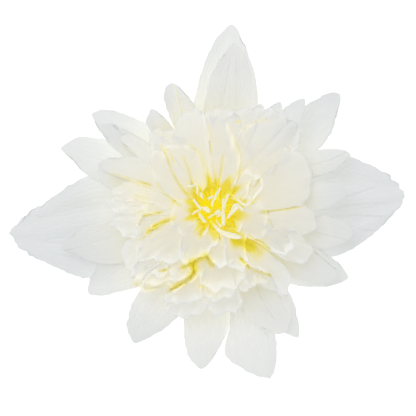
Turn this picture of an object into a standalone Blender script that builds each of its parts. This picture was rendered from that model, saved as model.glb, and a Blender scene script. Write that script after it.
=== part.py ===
"""A double begonia flower as picked, lying face up on its stalk stub, at real size.

Every tepal and petal grows from the receptacle. The outer tepals lie in layers like tiles, each one its own
object. The ruffled inner petals are grown together on one core, and so are the petaloids of the heart.
Lengths in the tables are millimetres, and azimuths are degrees counter-clockwise from +X, seen from above.
"""

import math

import bmesh
import bpy
from mathutils import Vector

MM = 0.001

# Receptacle: a cone that opens upward from the stalk's stub
STUB_RADIUS = 3.6
STUB_HEIGHT = 1.5
NECK_RADIUS = 3.0
NECK_HEIGHT = 2.2
RECEPTACLE_TOP = 9.9
RECEPTACLE_TOP_RADIUS = 6.4
RECEPTACLE_SIDES = 24
SEAT_GAP = 0.3

# Outer tepals
TEPAL_THICKNESS = 0.6
TEPAL_ROOT_HALF_WIDTH = 1.1
TEPAL_TIP_HALF_WIDTH = 0.7
STATIONS = (0.30, 0.50, 0.65, 0.80, 0.92)
CUP_START = 9.0
CUP_FULL = 34.0
LIFT_START = 22.0
RIB_DEPTH = 0.45
RIBS = 3
RIBBED_REACH = 52.0

# Each layer of tepals: its height at the root, at MID_RADIUS and at RIM_RADIUS
MID_RADIUS = 22.0
RIM_RADIUS = 46.0
LAYERS = (
    (3.2, 3.3, 2.4),
    (4.1, 4.6, 3.4),
    (5.0, 5.9, 4.5),
    (5.9, 7.2, 5.7),
    (6.8, 8.5, 6.9),
    (7.7, 9.9, 8.2),
    (8.6, 11.3, 9.6),
)

# azimuth, reach, layer, half-widths at STATIONS on the counter-clockwise side, the same on the clockwise
# side, rise of each edge over the midrib, and lift of the tip
BACK_TEPALS = {
    "right": (4.5, 52.6, 0, (8.0, 12.2, 13.1, 9.9, 6.0), (10.4, 15.2, 14.8, 10.8, 5.6), -0.6, -0.8, 0.3),
    "left": (186.5, 56.4, 0, (9.6, 15.1, 14.8, 10.7, 6.5), (11.0, 14.5, 12.1, 7.8, 4.3), -0.8, -0.4, 0.6),
    "top": (84.1, 51.3, 0, (5.6, 8.3, 8.0, 6.4, 4.1), (6.0, 9.0, 8.5, 6.2, 2.9), 1.6, 1.0, 1.4),
    "bottom_left": (265.7, 44.0, 0, (4.2, 6.7, 7.3, 5.5, 2.9), (3.0, 4.6, 5.9, 5.6, 4.1), -0.6, -0.8, 0.4),
    "upper_right": (42.8, 47.0, 1, (2.4, 3.6, 3.7, 3.9, 2.7), (2.6, 4.6, 7.0, 6.3, 3.0), 1.2, 2.0, 2.2),
    "left_upper": (158.2, 45.4, 1, (4.6, 5.2, 4.7, 3.9, 1.2), (3.0, 6.0, 7.8, 6.6, 5.0), -0.6, -1.2, 0.6),
    "lower_left": (238.5, 42.6, 1, (5.2, 7.2, 7.2, 5.8, 3.2), (3.4, 4.6, 5.5, 5.8, 4.0), -1.0, -0.4, -0.8),
    "right_lower": (333.4, 41.4, 1, (4.6, 5.4, 4.6, 3.2, 2.0), (5.0, 8.6, 9.0, 7.0, 4.2), -0.4, -1.2, -0.4),
    "left_lower": (213.8, 41.4, 2, (4.6, 7.0, 6.4, 4.6, 2.6), (3.3, 4.6, 6.1, 5.7, 3.6), 0.4, 1.2, -0.8),
    "bottom_right": (288.5, 48.6, 2, (2.8, 5.3, 6.1, 4.9, 3.2), (2.0, 3.4, 6.0, 9.6, 5.6), -0.4, -1.2, -1.4),
    "top_left": (109.0, 36.7, 2, (2.2, 2.7, 2.9, 3.2, 3.0), (2.4, 3.3, 4.0, 4.2, 2.4), 2.0, 1.2, 2.4),
    "upper_left": (141.6, 42.6, 3, (3.4, 3.8, 3.8, 3.6, 1.8), (2.7, 4.6, 7.1, 5.8, 3.9), -0.4, -1.0, 0.4),
    "lower_right": (303.5, 41.8, 3, (3.6, 4.6, 4.9, 4.1, 2.2), (2.5, 3.5, 4.0, 4.1, 2.7), -0.8, -0.4, -1.2),
}
FRONT_TEPALS = {
    "top": (83.2, 46.1, 3, (4.5, 6.4, 6.0, 5.1, 2.4), (4.2, 7.8, 8.2, 5.8, 3.6), 1.4, 0.6, 0.6),
    "upper_right_c": (66.0, 31.7, 4, (1.0, 1.8, 2.3, 2.6, 2.2), (1.5, 2.3, 2.9, 3.3, 3.0), 1.0, -0.2, 1.4),
    "lower_right": (299.5, 38.9, 4, (2.4, 5.0, 6.0, 6.0, 3.9), (2.4, 4.6, 6.1, 6.2, 3.6), 1.4, 0.8, -1.0),
    "left_lower": (194.0, 43.4, 4, (4.6, 7.6, 8.0, 6.2, 2.5), (4.6, 5.4, 4.2, 3.9, 2.2), -1.2, -0.4, -1.0),
    "right_lower": (330.8, 38.4, 4, (5.0, 6.8, 6.1, 4.5, 3.4), (2.6, 6.0, 6.2, 4.8, 3.0), -0.6, -1.4, -0.4),
    "upper_left": (143.5, 39.0, 4, (1.6, 2.4, 2.6, 2.7, 1.6), (2.6, 4.6, 4.0, 3.6, 2.5), 0.4, 1.4, 1.2),
    "upper_right_b": (58.3, 34.7, 5, (1.9, 2.5, 2.9, 2.9, 1.8), (1.6, 2.4, 3.0, 3.6, 2.6), 1.0, -0.6, 1.2),
    "left": (158.5, 34.2, 5, (2.6, 3.4, 4.2, 5.0, 4.4), (2.8, 5.0, 6.4, 4.9, 2.8), 1.6, 0.8, 0.6),
    "upper_left_small": (121.7, 32.7, 5, (1.8, 2.5, 3.1, 3.4, 3.0), (1.1, 1.6, 2.0, 2.3, 1.2), 2.0, 1.0, 2.2),
    "right_upper": (22.3, 40.3, 5, (2.6, 4.6, 5.2, 4.5, 2.9), (1.4, 1.8, 2.2, 2.6, 1.8), -1.0, -0.6, -0.8),
    "right_middle": (350.5, 38.6, 5, (2.6, 3.4, 3.4, 3.3, 2.7), (2.8, 4.4, 5.1, 5.6, 3.7), -0.4, -0.8, -1.2),
    "upper_right_a": (50.8, 39.2, 6, (1.6, 2.5, 2.7, 2.9, 2.1), (1.7, 3.4, 4.3, 4.1, 2.2), 0.8, 0.8, 1.6),
    "right": (7.6, 36.7, 6, (3.0, 4.2, 4.4, 3.9, 2.9), (2.4, 3.2, 3.7, 3.5, 2.5), -0.8, -1.0, 0.2),
}

# Core of the inner petals, as radius and height up its side
CORE_PROFILE = ((7.2, 10.2), (8.6, 12.0), (8.6, 14.2), (7.2, 16.2), (5.0, 16.8))
CORE_SIDES = 20

# Inner petals
PETAL_THICKNESS = 0.6
PETAL_ROOT_RADIUS = 4.9
PETAL_ROOT_HEIGHT = 13.0
PETAL_ROOT_DROP = 3.0
PETAL_LOWEST_ROOT = 11.4
PETAL_ROWS = (0.0, 0.28, 0.52, 0.75, 0.92, 1.0)
PETAL_ROOT_SHARE = 0.45
PETAL_TIP_SHARE = 0.6
PETAL_WIDE = 8.0

# azimuth of the root and of the tip, reach, widths at the middle, at four fifths and at the tip, height of
# the crest, droop of the tip below it, and cup, which is positive where the edges stand over the midrib
INNER_PETALS = (
    # straps that fan out over the upper half
    (119, 120, 27.4, (4.4, 5.8, 3.9), 15.9, 2.6, 0.8),
    (135, 126, 22.3, (3.9, 5.2, 3.0), 19.4, 2.6, -0.9),
    (117, 113, 21.5, (3.3, 5.0, 2.8), 20.2, 2.6, -0.9),
    (102, 101, 22.8, (3.3, 4.7, 2.8), 19.3, 3.0, -0.9),
    (92, 90, 23.2, (3.0, 4.7, 3.0), 19.7, 3.0, -0.9),
    (72, 81, 23.2, (3.0, 4.7, 2.8), 19.1, 3.0, -0.9),
    (62, 66, 25.9, (3.3, 6.1, 4.1), 18.0, 3.0, -0.9),
    (99, 96, 27.2, (4.4, 6.6, 3.9), 15.9, 2.6, 0.8),
    (79, 82, 28.9, (4.4, 7.2, 3.9), 14.8, 2.6, 0.8),
    (66, 69, 29.5, (4.4, 6.6, 3.9), 14.9, 2.4, 0.8),
    (114, 110, 27.0, (3.9, 5.5, 3.3), 16.1, 2.6, 0.8),
    # broad petals of the right side
    (47, 47, 28.9, (5.5, 8.3, 5.0), 17.4, 3.0, -1.0),
    (37, 32, 30.0, (5.0, 7.4, 3.9), 15.4, 3.0, 0.9),
    (27, 18, 30.7, (5.0, 6.9, 3.6), 15.6, 2.4, -0.8),
    (18, 7, 30.0, (5.0, 7.4, 3.3), 16.2, 2.8, -1.0),
    (351, 350, 29.6, (5.0, 7.7, 4.1), 15.6, 3.0, -1.0),
    (332, 330, 23.8, (3.9, 6.1, 3.6), 18.9, 3.0, 0.9),
    (310, 315, 29.8, (4.1, 5.8, 3.3), 16.4, 5.0, -1.0),
    (298, 304, 24.5, (4.4, 6.1, 3.6), 17.2, 2.6, 0.9),
    # curled petals of the lower half
    (294, 281, 16.6, (7.7, 8.8, 5.5), 22.0, 3.2, -1.4),
    (241, 241, 15.4, (8.8, 9.9, 7.2), 22.4, 3.0, -1.4),
    (283, 275, 22.1, (9.9, 11.0, 7.7), 18.9, 3.4, -1.2),
    (277, 274, 28.2, (9.9, 11.9, 8.3), 14.6, 2.6, -1.0),
    (260, 241, 27.2, (4.1, 5.0, 3.3), 15.7, 2.6, 0.9),
    (261, 252, 30.4, (8.3, 10.5, 8.3), 12.6, 2.4, -0.9),
    (216, 210, 24.2, (9.9, 11.0, 7.7), 20.3, 4.6, -2.0),
    (236, 248, 20.5, (5.0, 4.1, 2.2), 20.6, 3.0, 0.8),
    (237, 225, 25.7, (3.3, 3.3, 2.5), 18.0, 2.6, 0.8),
    (246, 231, 26.7, (3.9, 4.4, 2.8), 16.4, 2.6, 0.8),
    (233, 226, 30.0, (6.6, 7.4, 4.7), 13.4, 2.6, 0.8),
    (216, 205, 27.7, (8.3, 9.1, 8.3), 16.6, 4.0, -1.6),
    (194, 187, 27.8, (8.3, 9.4, 5.8), 17.0, 4.0, -1.6),
    (175, 174, 29.4, (4.1, 5.2, 3.3), 15.0, 2.6, 0.9),
    (197, 192, 21.7, (5.5, 6.1, 4.1), 20.2, 2.6, 1.1),
    (180, 169, 24.4, (5.5, 7.7, 5.0), 18.4, 3.0, -1.0),
    (157, 153, 23.8, (4.1, 6.1, 4.1), 18.9, 3.0, -1.0),
    (152, 144, 23.3, (3.9, 5.2, 3.3), 18.8, 3.0, 0.8),
    (143, 145, 28.9, (4.4, 6.1, 3.3), 15.2, 2.6, 0.8),
    # petals that ring the heart
    (202, 194, 12.2, (7.4, 9.1, 7.4), 24.0, 2.6, -1.5),
    (325, 348, 14.9, (7.2, 9.1, 6.9), 23.3, 3.0, -1.5),
    (39, 54, 14.0, (2.5, 3.3, 2.2), 23.5, 2.2, 0.8),
    (27, 37, 15.5, (2.8, 3.9, 2.5), 23.2, 2.4, 0.9),
    (11, 16, 16.3, (3.3, 5.0, 3.0), 22.4, 2.6, 0.9),
    (59, 70, 14.7, (2.2, 3.0, 1.9), 23.1, 2.4, -0.7),
    (145, 140, 13.7, (2.8, 3.9, 2.5), 23.1, 2.4, -0.8),
    (309, 320, 17.2, (3.3, 5.0, 3.0), 21.6, 2.6, 0.9),
)

# Heart
BOSS_RADIUS = 3.6
BOSS_BASE = 17.1
BOSS_TOP = 18.8
BOSS_SIDES = 16
PETALOID_THICKNESS = 0.6
PETALOID_ROOT_HEIGHT = 18.0
PETALOID_ROOT_HALF_WIDTH = 0.5
PETALOID_ROWS = 4

# Petaloids, thin blades that fan out from the boss: x and y of the root, then start, middle and end of the
# free edge, and columns along it
PETALOIDS = (
    ((0.3, -1.6), (2.9, -8.2, 24.9), (7.0, -7.9, 25.3), (5.4, -6.4, 25.4), 2),
    ((1.6, -0.8), (1.8, -5.2, 25.6), (2.5, -5.6, 25.9), (3.1, -5.1, 25.6), 2),
    ((2.2, -0.6), (5.0, 1.8, 25.0), (6.8, 1.7, 25.6), (7.9, -0.2, 25.2), 2),
    ((2.2, 1.2), (4.1, 4.5, 24.6), (7.2, 2.2, 24.9), (10.0, 2.2, 25.2), 4),
    ((1.6, 0.6), (2.2, -0.3, 25.2), (2.5, 1.6, 25.6), (2.2, 3.5, 25.2), 2),
    ((2.0, 1.0), (2.8, 1.2, 25.2), (3.5, 2.8, 25.4), (4.2, 3.8, 25.0), 2),
    ((0.6, -0.4), (0.1, -1.6, 24.2), (0.5, -0.3, 24.6), (1.6, -0.7, 24.4), 2),
    ((-0.8, -1.2), (-2.2, -1.1, 24.0), (-1.6, -2.0, 24.3), (-0.2, -1.3, 24.0), 2),
    ((-1.2, 0.4), (-3.0, 1.7, 24.6), (-1.7, 1.2, 25.0), (-1.3, -0.4, 24.7), 2),
    ((-2.2, 0.8), (-5.6, 2.9, 24.8), (-4.0, 0.9, 25.2), (-2.8, 0.6, 25.0), 2),
    ((-1.8, -1.0), (-4.2, -0.5, 24.2), (-3.6, -2.2, 24.6), (-2.2, -3.4, 24.6), 2),
    ((-2.4, -0.4), (-6.2, -1.6, 25.2), (-5.1, -0.4, 25.3), (-3.9, 0.1, 25.2), 2),
    ((-2.2, 1.8), (-7.4, 6.4, 24.6), (-5.6, 7.2, 25.0), (-4.8, 4.2, 24.8), 4),
    ((-1.8, 2.0), (-4.0, 5.2, 24.0), (-3.3, 4.0, 24.3), (-3.0, 2.8, 24.0), 2),
    ((-0.6, 1.6), (-1.5, 3.2, 24.0), (-0.3, 3.7, 24.4), (0.5, 3.0, 24.2), 2),
    ((0.2, 1.0), (-0.7, 1.4, 23.6), (0.0, 2.4, 24.0), (0.9, 1.8, 23.8), 2),
    ((0.8, 2.2), (2.0, 8.2, 24.4), (1.5, 6.0, 24.8), (0.8, 3.8, 24.6), 2),
    ((-1.0, -2.2), (-1.9, -5.0, 24.4), (-3.0, -6.4, 24.8), (-4.2, -7.6, 24.8), 2),
    ((0.6, -2.2), (0.6, -3.0, 24.8), (1.3, -4.2, 25.2), (1.6, -4.8, 25.2), 2),
    ((2.6, -1.4), (5.8, -6.2, 24.4), (6.4, -5.0, 24.8), (7.0, -3.8, 24.6), 2),
)

WHITE = (0.86, 0.88, 0.90)
CREAM = (0.90, 0.88, 0.74)
YELLOW = (0.90, 0.76, 0.10)
GREEN = (0.66, 0.72, 0.42)
SHARP_ANGLE = math.radians(50.0)


def clear_scene():
    """Removes whatever the file holds."""
    for thing in list(bpy.data.objects):
        bpy.data.objects.remove(thing, do_unlink=True)


def make_material(name, colour, roughness):
    material = bpy.data.materials.new(name)
    material.use_nodes = True
    shader = material.node_tree.nodes["Principled BSDF"]
    shader.inputs["Base Color"].default_value = (*colour, 1.0)
    shader.inputs["Roughness"].default_value = roughness
    shader.inputs["Metallic"].default_value = 0.0
    return material


def smooth_step(x):
    x = min(max(x, 0.0), 1.0)
    return x * x * (3.0 - 2.0 * x)


def through(knots, x):
    """The value at x of a smooth curve through knots, which are (x, value) pairs in order."""
    last = len(knots) - 1
    i = 0
    while i < last - 1 and x > knots[i + 1][0]:
        i += 1
    (x0, y0), (x1, y1) = knots[i], knots[i + 1]
    before = knots[max(i - 1, 0)]
    after = knots[min(i + 2, last)]
    slope_0 = (y1 - before[1]) / (x1 - before[0])
    slope_1 = (after[1] - y0) / (after[0] - x0)
    f = (x - x0) / (x1 - x0)
    span = x1 - x0
    rise = (2 * f**3 - 3 * f**2 + 1) * y0 + (3 * f**2 - 2 * f**3) * y1
    bend = (f**3 - 2 * f**2 + f) * slope_0 + (f**3 - f**2) * slope_1
    return rise + bend * span


def cone_radius(height):
    """Radius of the receptacle's cone at a height."""
    share = (height - NECK_HEIGHT) / (RECEPTACLE_TOP - NECK_HEIGHT)
    return NECK_RADIUS + share * (RECEPTACLE_TOP_RADIUS - NECK_RADIUS)


def tepal_root(layer):
    """Radius at which a layer's tepals meet the receptacle."""
    return cone_radius(LAYERS[layer][0] + TEPAL_THICKNESS / 2) + SEAT_GAP


def layer_height(layer, radius):
    """The height of a layer of tepals: the parabola through its three heights."""
    root, middle, rim = LAYERS[layer]
    a, b, c = tepal_root(layer), MID_RADIUS, RIM_RADIUS
    share_root = (radius - b) * (radius - c) / ((a - b) * (a - c))
    share_middle = (radius - a) * (radius - c) / ((b - a) * (b - c))
    share_rim = (radius - a) * (radius - b) / ((c - a) * (c - b))
    return root * share_root + middle * share_middle + rim * share_rim


def blade(name, rows, columns, place, thickness):
    """A closed blade from a grid of rows by columns, whose points place(row, across) sets in millimetres."""
    mesh = bmesh.new()
    bmesh.ops.create_grid(mesh, x_segments=rows, y_segments=columns, size=1.0)
    for vertex in mesh.verts:
        row = round((vertex.co.x + 1.0) / 2.0 * rows)
        vertex.co = Vector(place(row, vertex.co.y)) * MM
    bmesh.ops.triangulate(mesh, faces=mesh.faces[:])
    data = bpy.data.meshes.new(name)
    mesh.to_mesh(data)
    mesh.free()
    piece = bpy.data.objects.new(name, data)
    bpy.context.collection.objects.link(piece)
    wall = piece.modifiers.new("Thickness", "SOLIDIFY")
    wall.thickness = thickness * MM
    wall.offset = 0.0
    wall.use_even_offset = True
    return piece


def turned(name, profile, sides):
    """A closed solid turned about the flower's axis from (radius, height) pairs, bottom to top."""
    mesh = bmesh.new()
    outline = [mesh.verts.new((0.0, 0.0, profile[0][1] * MM))]
    outline += [mesh.verts.new((radius * MM, 0.0, height * MM)) for radius, height in profile]
    outline.append(mesh.verts.new((0.0, 0.0, profile[-1][1] * MM)))
    edges = [mesh.edges.new(pair) for pair in zip(outline, outline[1:])]
    around = {"cent": (0, 0, 0), "axis": (0, 0, 1), "angle": math.tau}
    bmesh.ops.spin(mesh, geom=outline + edges, steps=sides, use_merge=True, **around)
    bmesh.ops.remove_doubles(mesh, verts=mesh.verts[:], dist=0.00001)
    bmesh.ops.recalc_face_normals(mesh, faces=mesh.faces[:])
    data = bpy.data.meshes.new(name)
    mesh.to_mesh(data)
    mesh.free()
    piece = bpy.data.objects.new(name, data)
    bpy.context.collection.objects.link(piece)
    return piece


def make_receptacle():
    """The stalk's stub, cut flat below, and the cone that carries the tepals round its side."""
    profile = (
        (STUB_RADIUS - 0.3, 0.0),
        (STUB_RADIUS, 0.3),
        (STUB_RADIUS, STUB_HEIGHT),
        (NECK_RADIUS, NECK_HEIGHT),
        (RECEPTACLE_TOP_RADIUS, RECEPTACLE_TOP),
    )
    return turned("receptacle", profile, RECEPTACLE_SIDES)


def make_tepal(name, azimuth, reach, layer, left, right, left_rise, right_rise, lift):
    """One outer tepal: its outline from the half-widths, its height from its layer. The long ones are ribbed."""
    root = tepal_root(layer)
    radii = (root, *(reach * station for station in STATIONS), reach)
    left = (TEPAL_ROOT_HALF_WIDTH, *left, TEPAL_TIP_HALF_WIDTH)
    right = (TEPAL_ROOT_HALF_WIDTH, *right, TEPAL_TIP_HALF_WIDTH)
    widest = max(left + right)
    angle = math.radians(azimuth)
    outward = Vector((math.cos(angle), math.sin(angle), 0.0))
    across = Vector((-math.sin(angle), math.cos(angle), 0.0))
    ribbed = reach > RIBBED_REACH
    columns = 10 if ribbed else 4

    def place(row, v):
        radius = radii[row]
        half_width, rise = (left[row], left_rise) if v >= 0 else (right[row], right_rise)
        shaped = smooth_step((radius - CUP_START) / (CUP_FULL - CUP_START)) * half_width / widest
        height = layer_height(layer, radius) + shaped * rise * v * v
        height += lift * smooth_step((radius - LIFT_START) / (reach - LIFT_START))
        if ribbed:
            height += RIB_DEPTH * shaped * math.cos(RIBS * math.pi * v) * (1.0 - v * v)
        return outward * radius + across * (v * half_width) + Vector((0.0, 0.0, height))

    return blade(name, len(radii) - 1, columns, place, TEPAL_THICKNESS)


def petal_spine(reach, crest, droop, u):
    """Radius and height of an inner petal's midrib, which rises from the core, arches over and droops."""
    root_height = max(min(PETAL_ROOT_HEIGHT, crest - PETAL_ROOT_DROP), PETAL_LOWEST_ROOT)
    tip_height = crest - droop
    arch = (crest - (root_height + tip_height) / 8) / 0.75
    radii = (PETAL_ROOT_RADIUS, PETAL_ROOT_RADIUS + 1.5, 0.5 * (PETAL_ROOT_RADIUS + reach), reach)
    heights = (root_height, arch, arch, tip_height)
    weights = ((1 - u) ** 3, 3 * u * (1 - u) ** 2, 3 * u * u * (1 - u), u**3)
    radius = sum(weight * value for weight, value in zip(weights, radii))
    height = sum(weight * value for weight, value in zip(weights, heights))
    return radius, height


def make_inner_petal(name, azimuth, tip_azimuth, reach, widths, crest, droop, cup):
    middle, far, tip = widths
    shoulder = 0.5 * (far + tip)
    root = PETAL_ROOT_SHARE * middle
    outline = ((0.0, root), (0.5, middle), (0.78, far), (0.92, shoulder), (1.0, PETAL_TIP_SHARE * tip))
    columns = 4 if far > PETAL_WIDE else 2

    def place(row, v):
        u = PETAL_ROWS[row]
        radius, height = petal_spine(reach, crest, droop, u)
        angle = math.radians(azimuth + (tip_azimuth - azimuth) * u)
        offset = v * 0.5 * through(outline, u)
        x = radius * math.cos(angle) - offset * math.sin(angle)
        y = radius * math.sin(angle) + offset * math.cos(angle)
        return (x, y, height + cup * v * v * u)

    return blade(name, len(PETAL_ROWS) - 1, columns, place, PETAL_THICKNESS)


def make_petaloid(name, root, start, middle, end, columns):
    """A thin blade that rises from its root and fans out to a free edge, the curve through three points."""
    start, middle, end = Vector(start), Vector(middle), Vector(end)
    root = Vector((*root, PETALOID_ROOT_HEIGHT))
    along = (end - start).to_2d().normalized().to_3d()

    def place(row, v):
        f = (v + 1.0) / 2.0
        edge = (1 - f) * (1 - 2 * f) * start + 4 * f * (1 - f) * middle - f * (1 - 2 * f) * end
        foot = root + along * (v * PETALOID_ROOT_HALF_WIDTH)
        u = row / PETALOID_ROWS
        risen = 1.0 - (1.0 - u) ** 2
        point = foot.lerp(edge, u)
        point.z = foot.z + (edge.z - foot.z) * risen
        return point

    return blade(name, PETALOID_ROWS, columns, place, PETALOID_THICKNESS)


def join(body, pieces):
    """Joins the pieces to the body in one union, and removes them."""
    group = bpy.data.collections.new(body.name + "_pieces")
    bpy.context.scene.collection.children.link(group)
    for piece in pieces:
        bpy.context.collection.objects.unlink(piece)
        group.objects.link(piece)
    union = body.modifiers.new("Union", "BOOLEAN")
    union.operation = "UNION"
    union.operand_type = "COLLECTION"
    union.collection = group
    union.solver = "MANIFOLD"
    evaluated = body.evaluated_get(bpy.context.evaluated_depsgraph_get())
    joined = bpy.data.meshes.new_from_object(evaluated)
    body.modifiers.clear()
    body.data = joined
    for piece in pieces:
        bpy.data.objects.remove(piece, do_unlink=True)
    bpy.data.collections.remove(group)


def finish(piece, material):
    piece.data.materials.clear()
    piece.data.materials.append(material)
    piece.data.shade_smooth()
    piece.data.set_sharp_from_angle(angle=SHARP_ANGLE)


def main():
    clear_scene()
    white = make_material("tepal_white", WHITE, 0.55)
    cream = make_material("petal_cream", CREAM, 0.5)
    yellow = make_material("heart_yellow", YELLOW, 0.5)
    green = make_material("receptacle_green", GREEN, 0.5)

    finish(make_receptacle(), green)
    for name, values in BACK_TEPALS.items():
        finish(make_tepal("back_tepal_" + name, *values), white)
    for name, values in FRONT_TEPALS.items():
        finish(make_tepal("front_tepal_" + name, *values), white)

    core = turned("inner_petals", CORE_PROFILE, CORE_SIDES)
    petals = [make_inner_petal(f"petal_{i}", *values) for i, values in enumerate(INNER_PETALS)]
    join(core, petals)
    finish(core, cream)

    boss_profile = ((BOSS_RADIUS, BOSS_BASE), (BOSS_RADIUS, BOSS_BASE + 0.8), (BOSS_RADIUS * 0.7, BOSS_TOP))
    heart = turned("heart_petaloids", boss_profile, BOSS_SIDES)
    petaloids = [make_petaloid(f"petaloid_{i}", *values) for i, values in enumerate(PETALOIDS)]
    join(heart, petaloids)
    finish(heart, yellow)


main()
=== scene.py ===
"""A double begonia flower lying face up, dressed over its solids.

Lengths in the tables are millimetres, and azimuths are degrees counter-clockwise from +X, seen from above.
"""

import math
import random

import bmesh
import bpy
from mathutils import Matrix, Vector, noise
from mathutils.bvhtree import BVHTree


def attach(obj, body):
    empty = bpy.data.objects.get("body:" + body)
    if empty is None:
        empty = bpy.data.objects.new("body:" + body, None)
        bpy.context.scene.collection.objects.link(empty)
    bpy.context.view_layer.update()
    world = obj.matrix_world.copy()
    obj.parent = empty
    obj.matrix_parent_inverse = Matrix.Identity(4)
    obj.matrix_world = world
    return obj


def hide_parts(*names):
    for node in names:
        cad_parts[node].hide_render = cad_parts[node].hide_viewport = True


MM = 0.001
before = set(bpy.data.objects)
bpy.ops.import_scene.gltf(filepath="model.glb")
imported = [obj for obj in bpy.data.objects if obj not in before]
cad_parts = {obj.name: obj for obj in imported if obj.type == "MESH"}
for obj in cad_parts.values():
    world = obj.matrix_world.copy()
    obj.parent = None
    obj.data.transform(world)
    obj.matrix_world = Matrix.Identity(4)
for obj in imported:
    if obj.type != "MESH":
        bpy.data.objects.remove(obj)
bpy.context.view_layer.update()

# The photograph's frame: a pixel's length, and the pixel over the origin
PIXEL = 110.0 / 399.0
FLOWER_PIXEL = (214.0, 210.0)
IMAGE_SIZE = 416.0
CAMERA_HEIGHT = 2000.0
SENSOR = 36.0

# Outer tepals, with the values of the solids
NECK_RADIUS = 3.0
NECK_HEIGHT = 2.2
RECEPTACLE_TOP = 9.9
RECEPTACLE_TOP_RADIUS = 6.4
SEAT_GAP = 0.1
TEPAL_WALL = 0.6
TEPAL_ROOT_HALF_WIDTH = 1.1
STATIONS = (0.30, 0.50, 0.65, 0.80, 0.92)
CUP_START = 9.0
CUP_FULL = 34.0
LIFT_START = 22.0
RIBS = 3
RIB_DEPTH = 0.45
MID_RADIUS = 22.0
RIM_RADIUS = 46.0
# heights of each layer at its root, at MID_RADIUS and at RIM_RADIUS
LAYERS = (
    (3.2, 3.3, 2.4),
    (4.1, 4.6, 3.4),
    (5.0, 5.9, 4.5),
    (5.9, 7.2, 5.7),
    (6.8, 8.5, 6.9),
    (7.7, 9.9, 8.2),
    (8.6, 11.3, 9.6),
)

# What the finer tepals add: a thin skin, veins, waves, uneven edges, and cream that fades outward, whose
# tint near the root also raises the glow: painted light that lifts the shade of the head
TEPAL_SKIN = 0.3
TEPAL_ROWS = 84
TEPAL_COLUMNS_PER_VEIN = 5.2
VEIN_SPACING = 1.5
VEIN_DEPTH = 0.05
VEIN_WANDER = 0.06
VEIN_WANDER_LENGTH = 9.0
EDGE_WAVE = 0.35
EDGE_WAVE_TURN = 0.33
EDGE_DRIFT = 0.025
EDGE_DRIFT_LENGTH = 3.0
TOOTH_LENGTH = 1.3
BROAD_REACH = 52.0
BROAD_TOOTH_DEPTH = 1.0
TOOTH_DEPTH = 0.4
ROOT_TINT = 0.5
TEPAL_FADE_START = 12.0
BROAD_FADE = 28.0
FADE_PER_REACH = 0.72

# azimuth, reach, layer, half-widths at STATIONS on the counter-clockwise side, the same on the clockwise
# side, rise of each edge over the midrib, lift of the tip, and how round the tip is
BACK_TEPALS = {
    "right": (
        4.5, 52.6, 0, (8, 12.2, 13.1, 9.9, 6), (10.4, 15.2, 14.8, 10.8, 5.6), -0.6, -0.8, 0.3, 1.6),
    "left": (
        186.5, 56.4, 0, (9.6, 15.1, 14.8, 10.7, 6.5), (11, 14.5, 12.1, 7.8, 4.3), -0.8, -0.4, 0.6, 1.6),
    "top": (
        84.1, 51.3, 0, (5.6, 8.3, 8, 6.4, 4.1), (6, 9, 8.5, 6.2, 2.9), 1.6, 1, 1.4, 1.5),
    "bottom_left": (
        265.7, 44, 0, (4.2, 6.7, 7.3, 5.5, 2.9), (3, 4.6, 5.9, 5.6, 4.1), -0.6, -0.8, 0.4, 1.5),
    "upper_right": (
        42.8, 47, 1, (2.4, 3.6, 3.7, 3.9, 2.7), (2.6, 4.6, 7, 6.3, 3), 1.2, 2, 2.2, 1.9),
    "left_upper": (
        158.2, 45.4, 1, (4.6, 5.2, 4.7, 3.9, 1.2), (3, 6, 7.8, 6.6, 5), -0.6, -1.2, 0.6, 1.5),
    "lower_left": (
        238.5, 42.6, 1, (5.2, 7.2, 7.2, 5.8, 3.2), (3.4, 4.6, 5.5, 5.8, 4), -1, -0.4, -0.8, 1.7),
    "right_lower": (
        333.4, 41.4, 1, (4.6, 5.4, 4.6, 3.2, 2), (5, 8.6, 9, 7, 4.2), -0.4, -1.2, -0.4, 1.6),
    "left_lower": (
        213.8, 41.4, 2, (4.6, 7, 6.4, 4.6, 2.6), (3.3, 4.6, 6.1, 5.7, 3.6), 0.4, 1.2, -0.8, 1.6),
    "bottom_right": (
        288.5, 48.6, 2, (2.8, 5.3, 6.1, 4.9, 3.2), (2, 3.4, 6, 9.6, 5.6), -0.4, -1.2, -1.4, 1.6),
    "top_left": (
        109, 36.7, 2, (2.2, 2.7, 2.9, 3.2, 3), (2.4, 3.3, 4, 4.2, 2.4), 2, 1.2, 2.4, 2.4),
    "upper_left": (
        141.6, 42.6, 3, (3.4, 3.8, 3.8, 3.6, 1.8), (2.7, 4.6, 7.1, 5.8, 3.9), -0.4, -1, 0.4, 2),
    "lower_right": (
        303.5, 41.8, 3, (3.6, 4.6, 4.9, 4.1, 2.2), (2.5, 3.5, 4, 4.1, 2.7), -0.8, -0.4, -1.2, 1.5),
}
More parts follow.
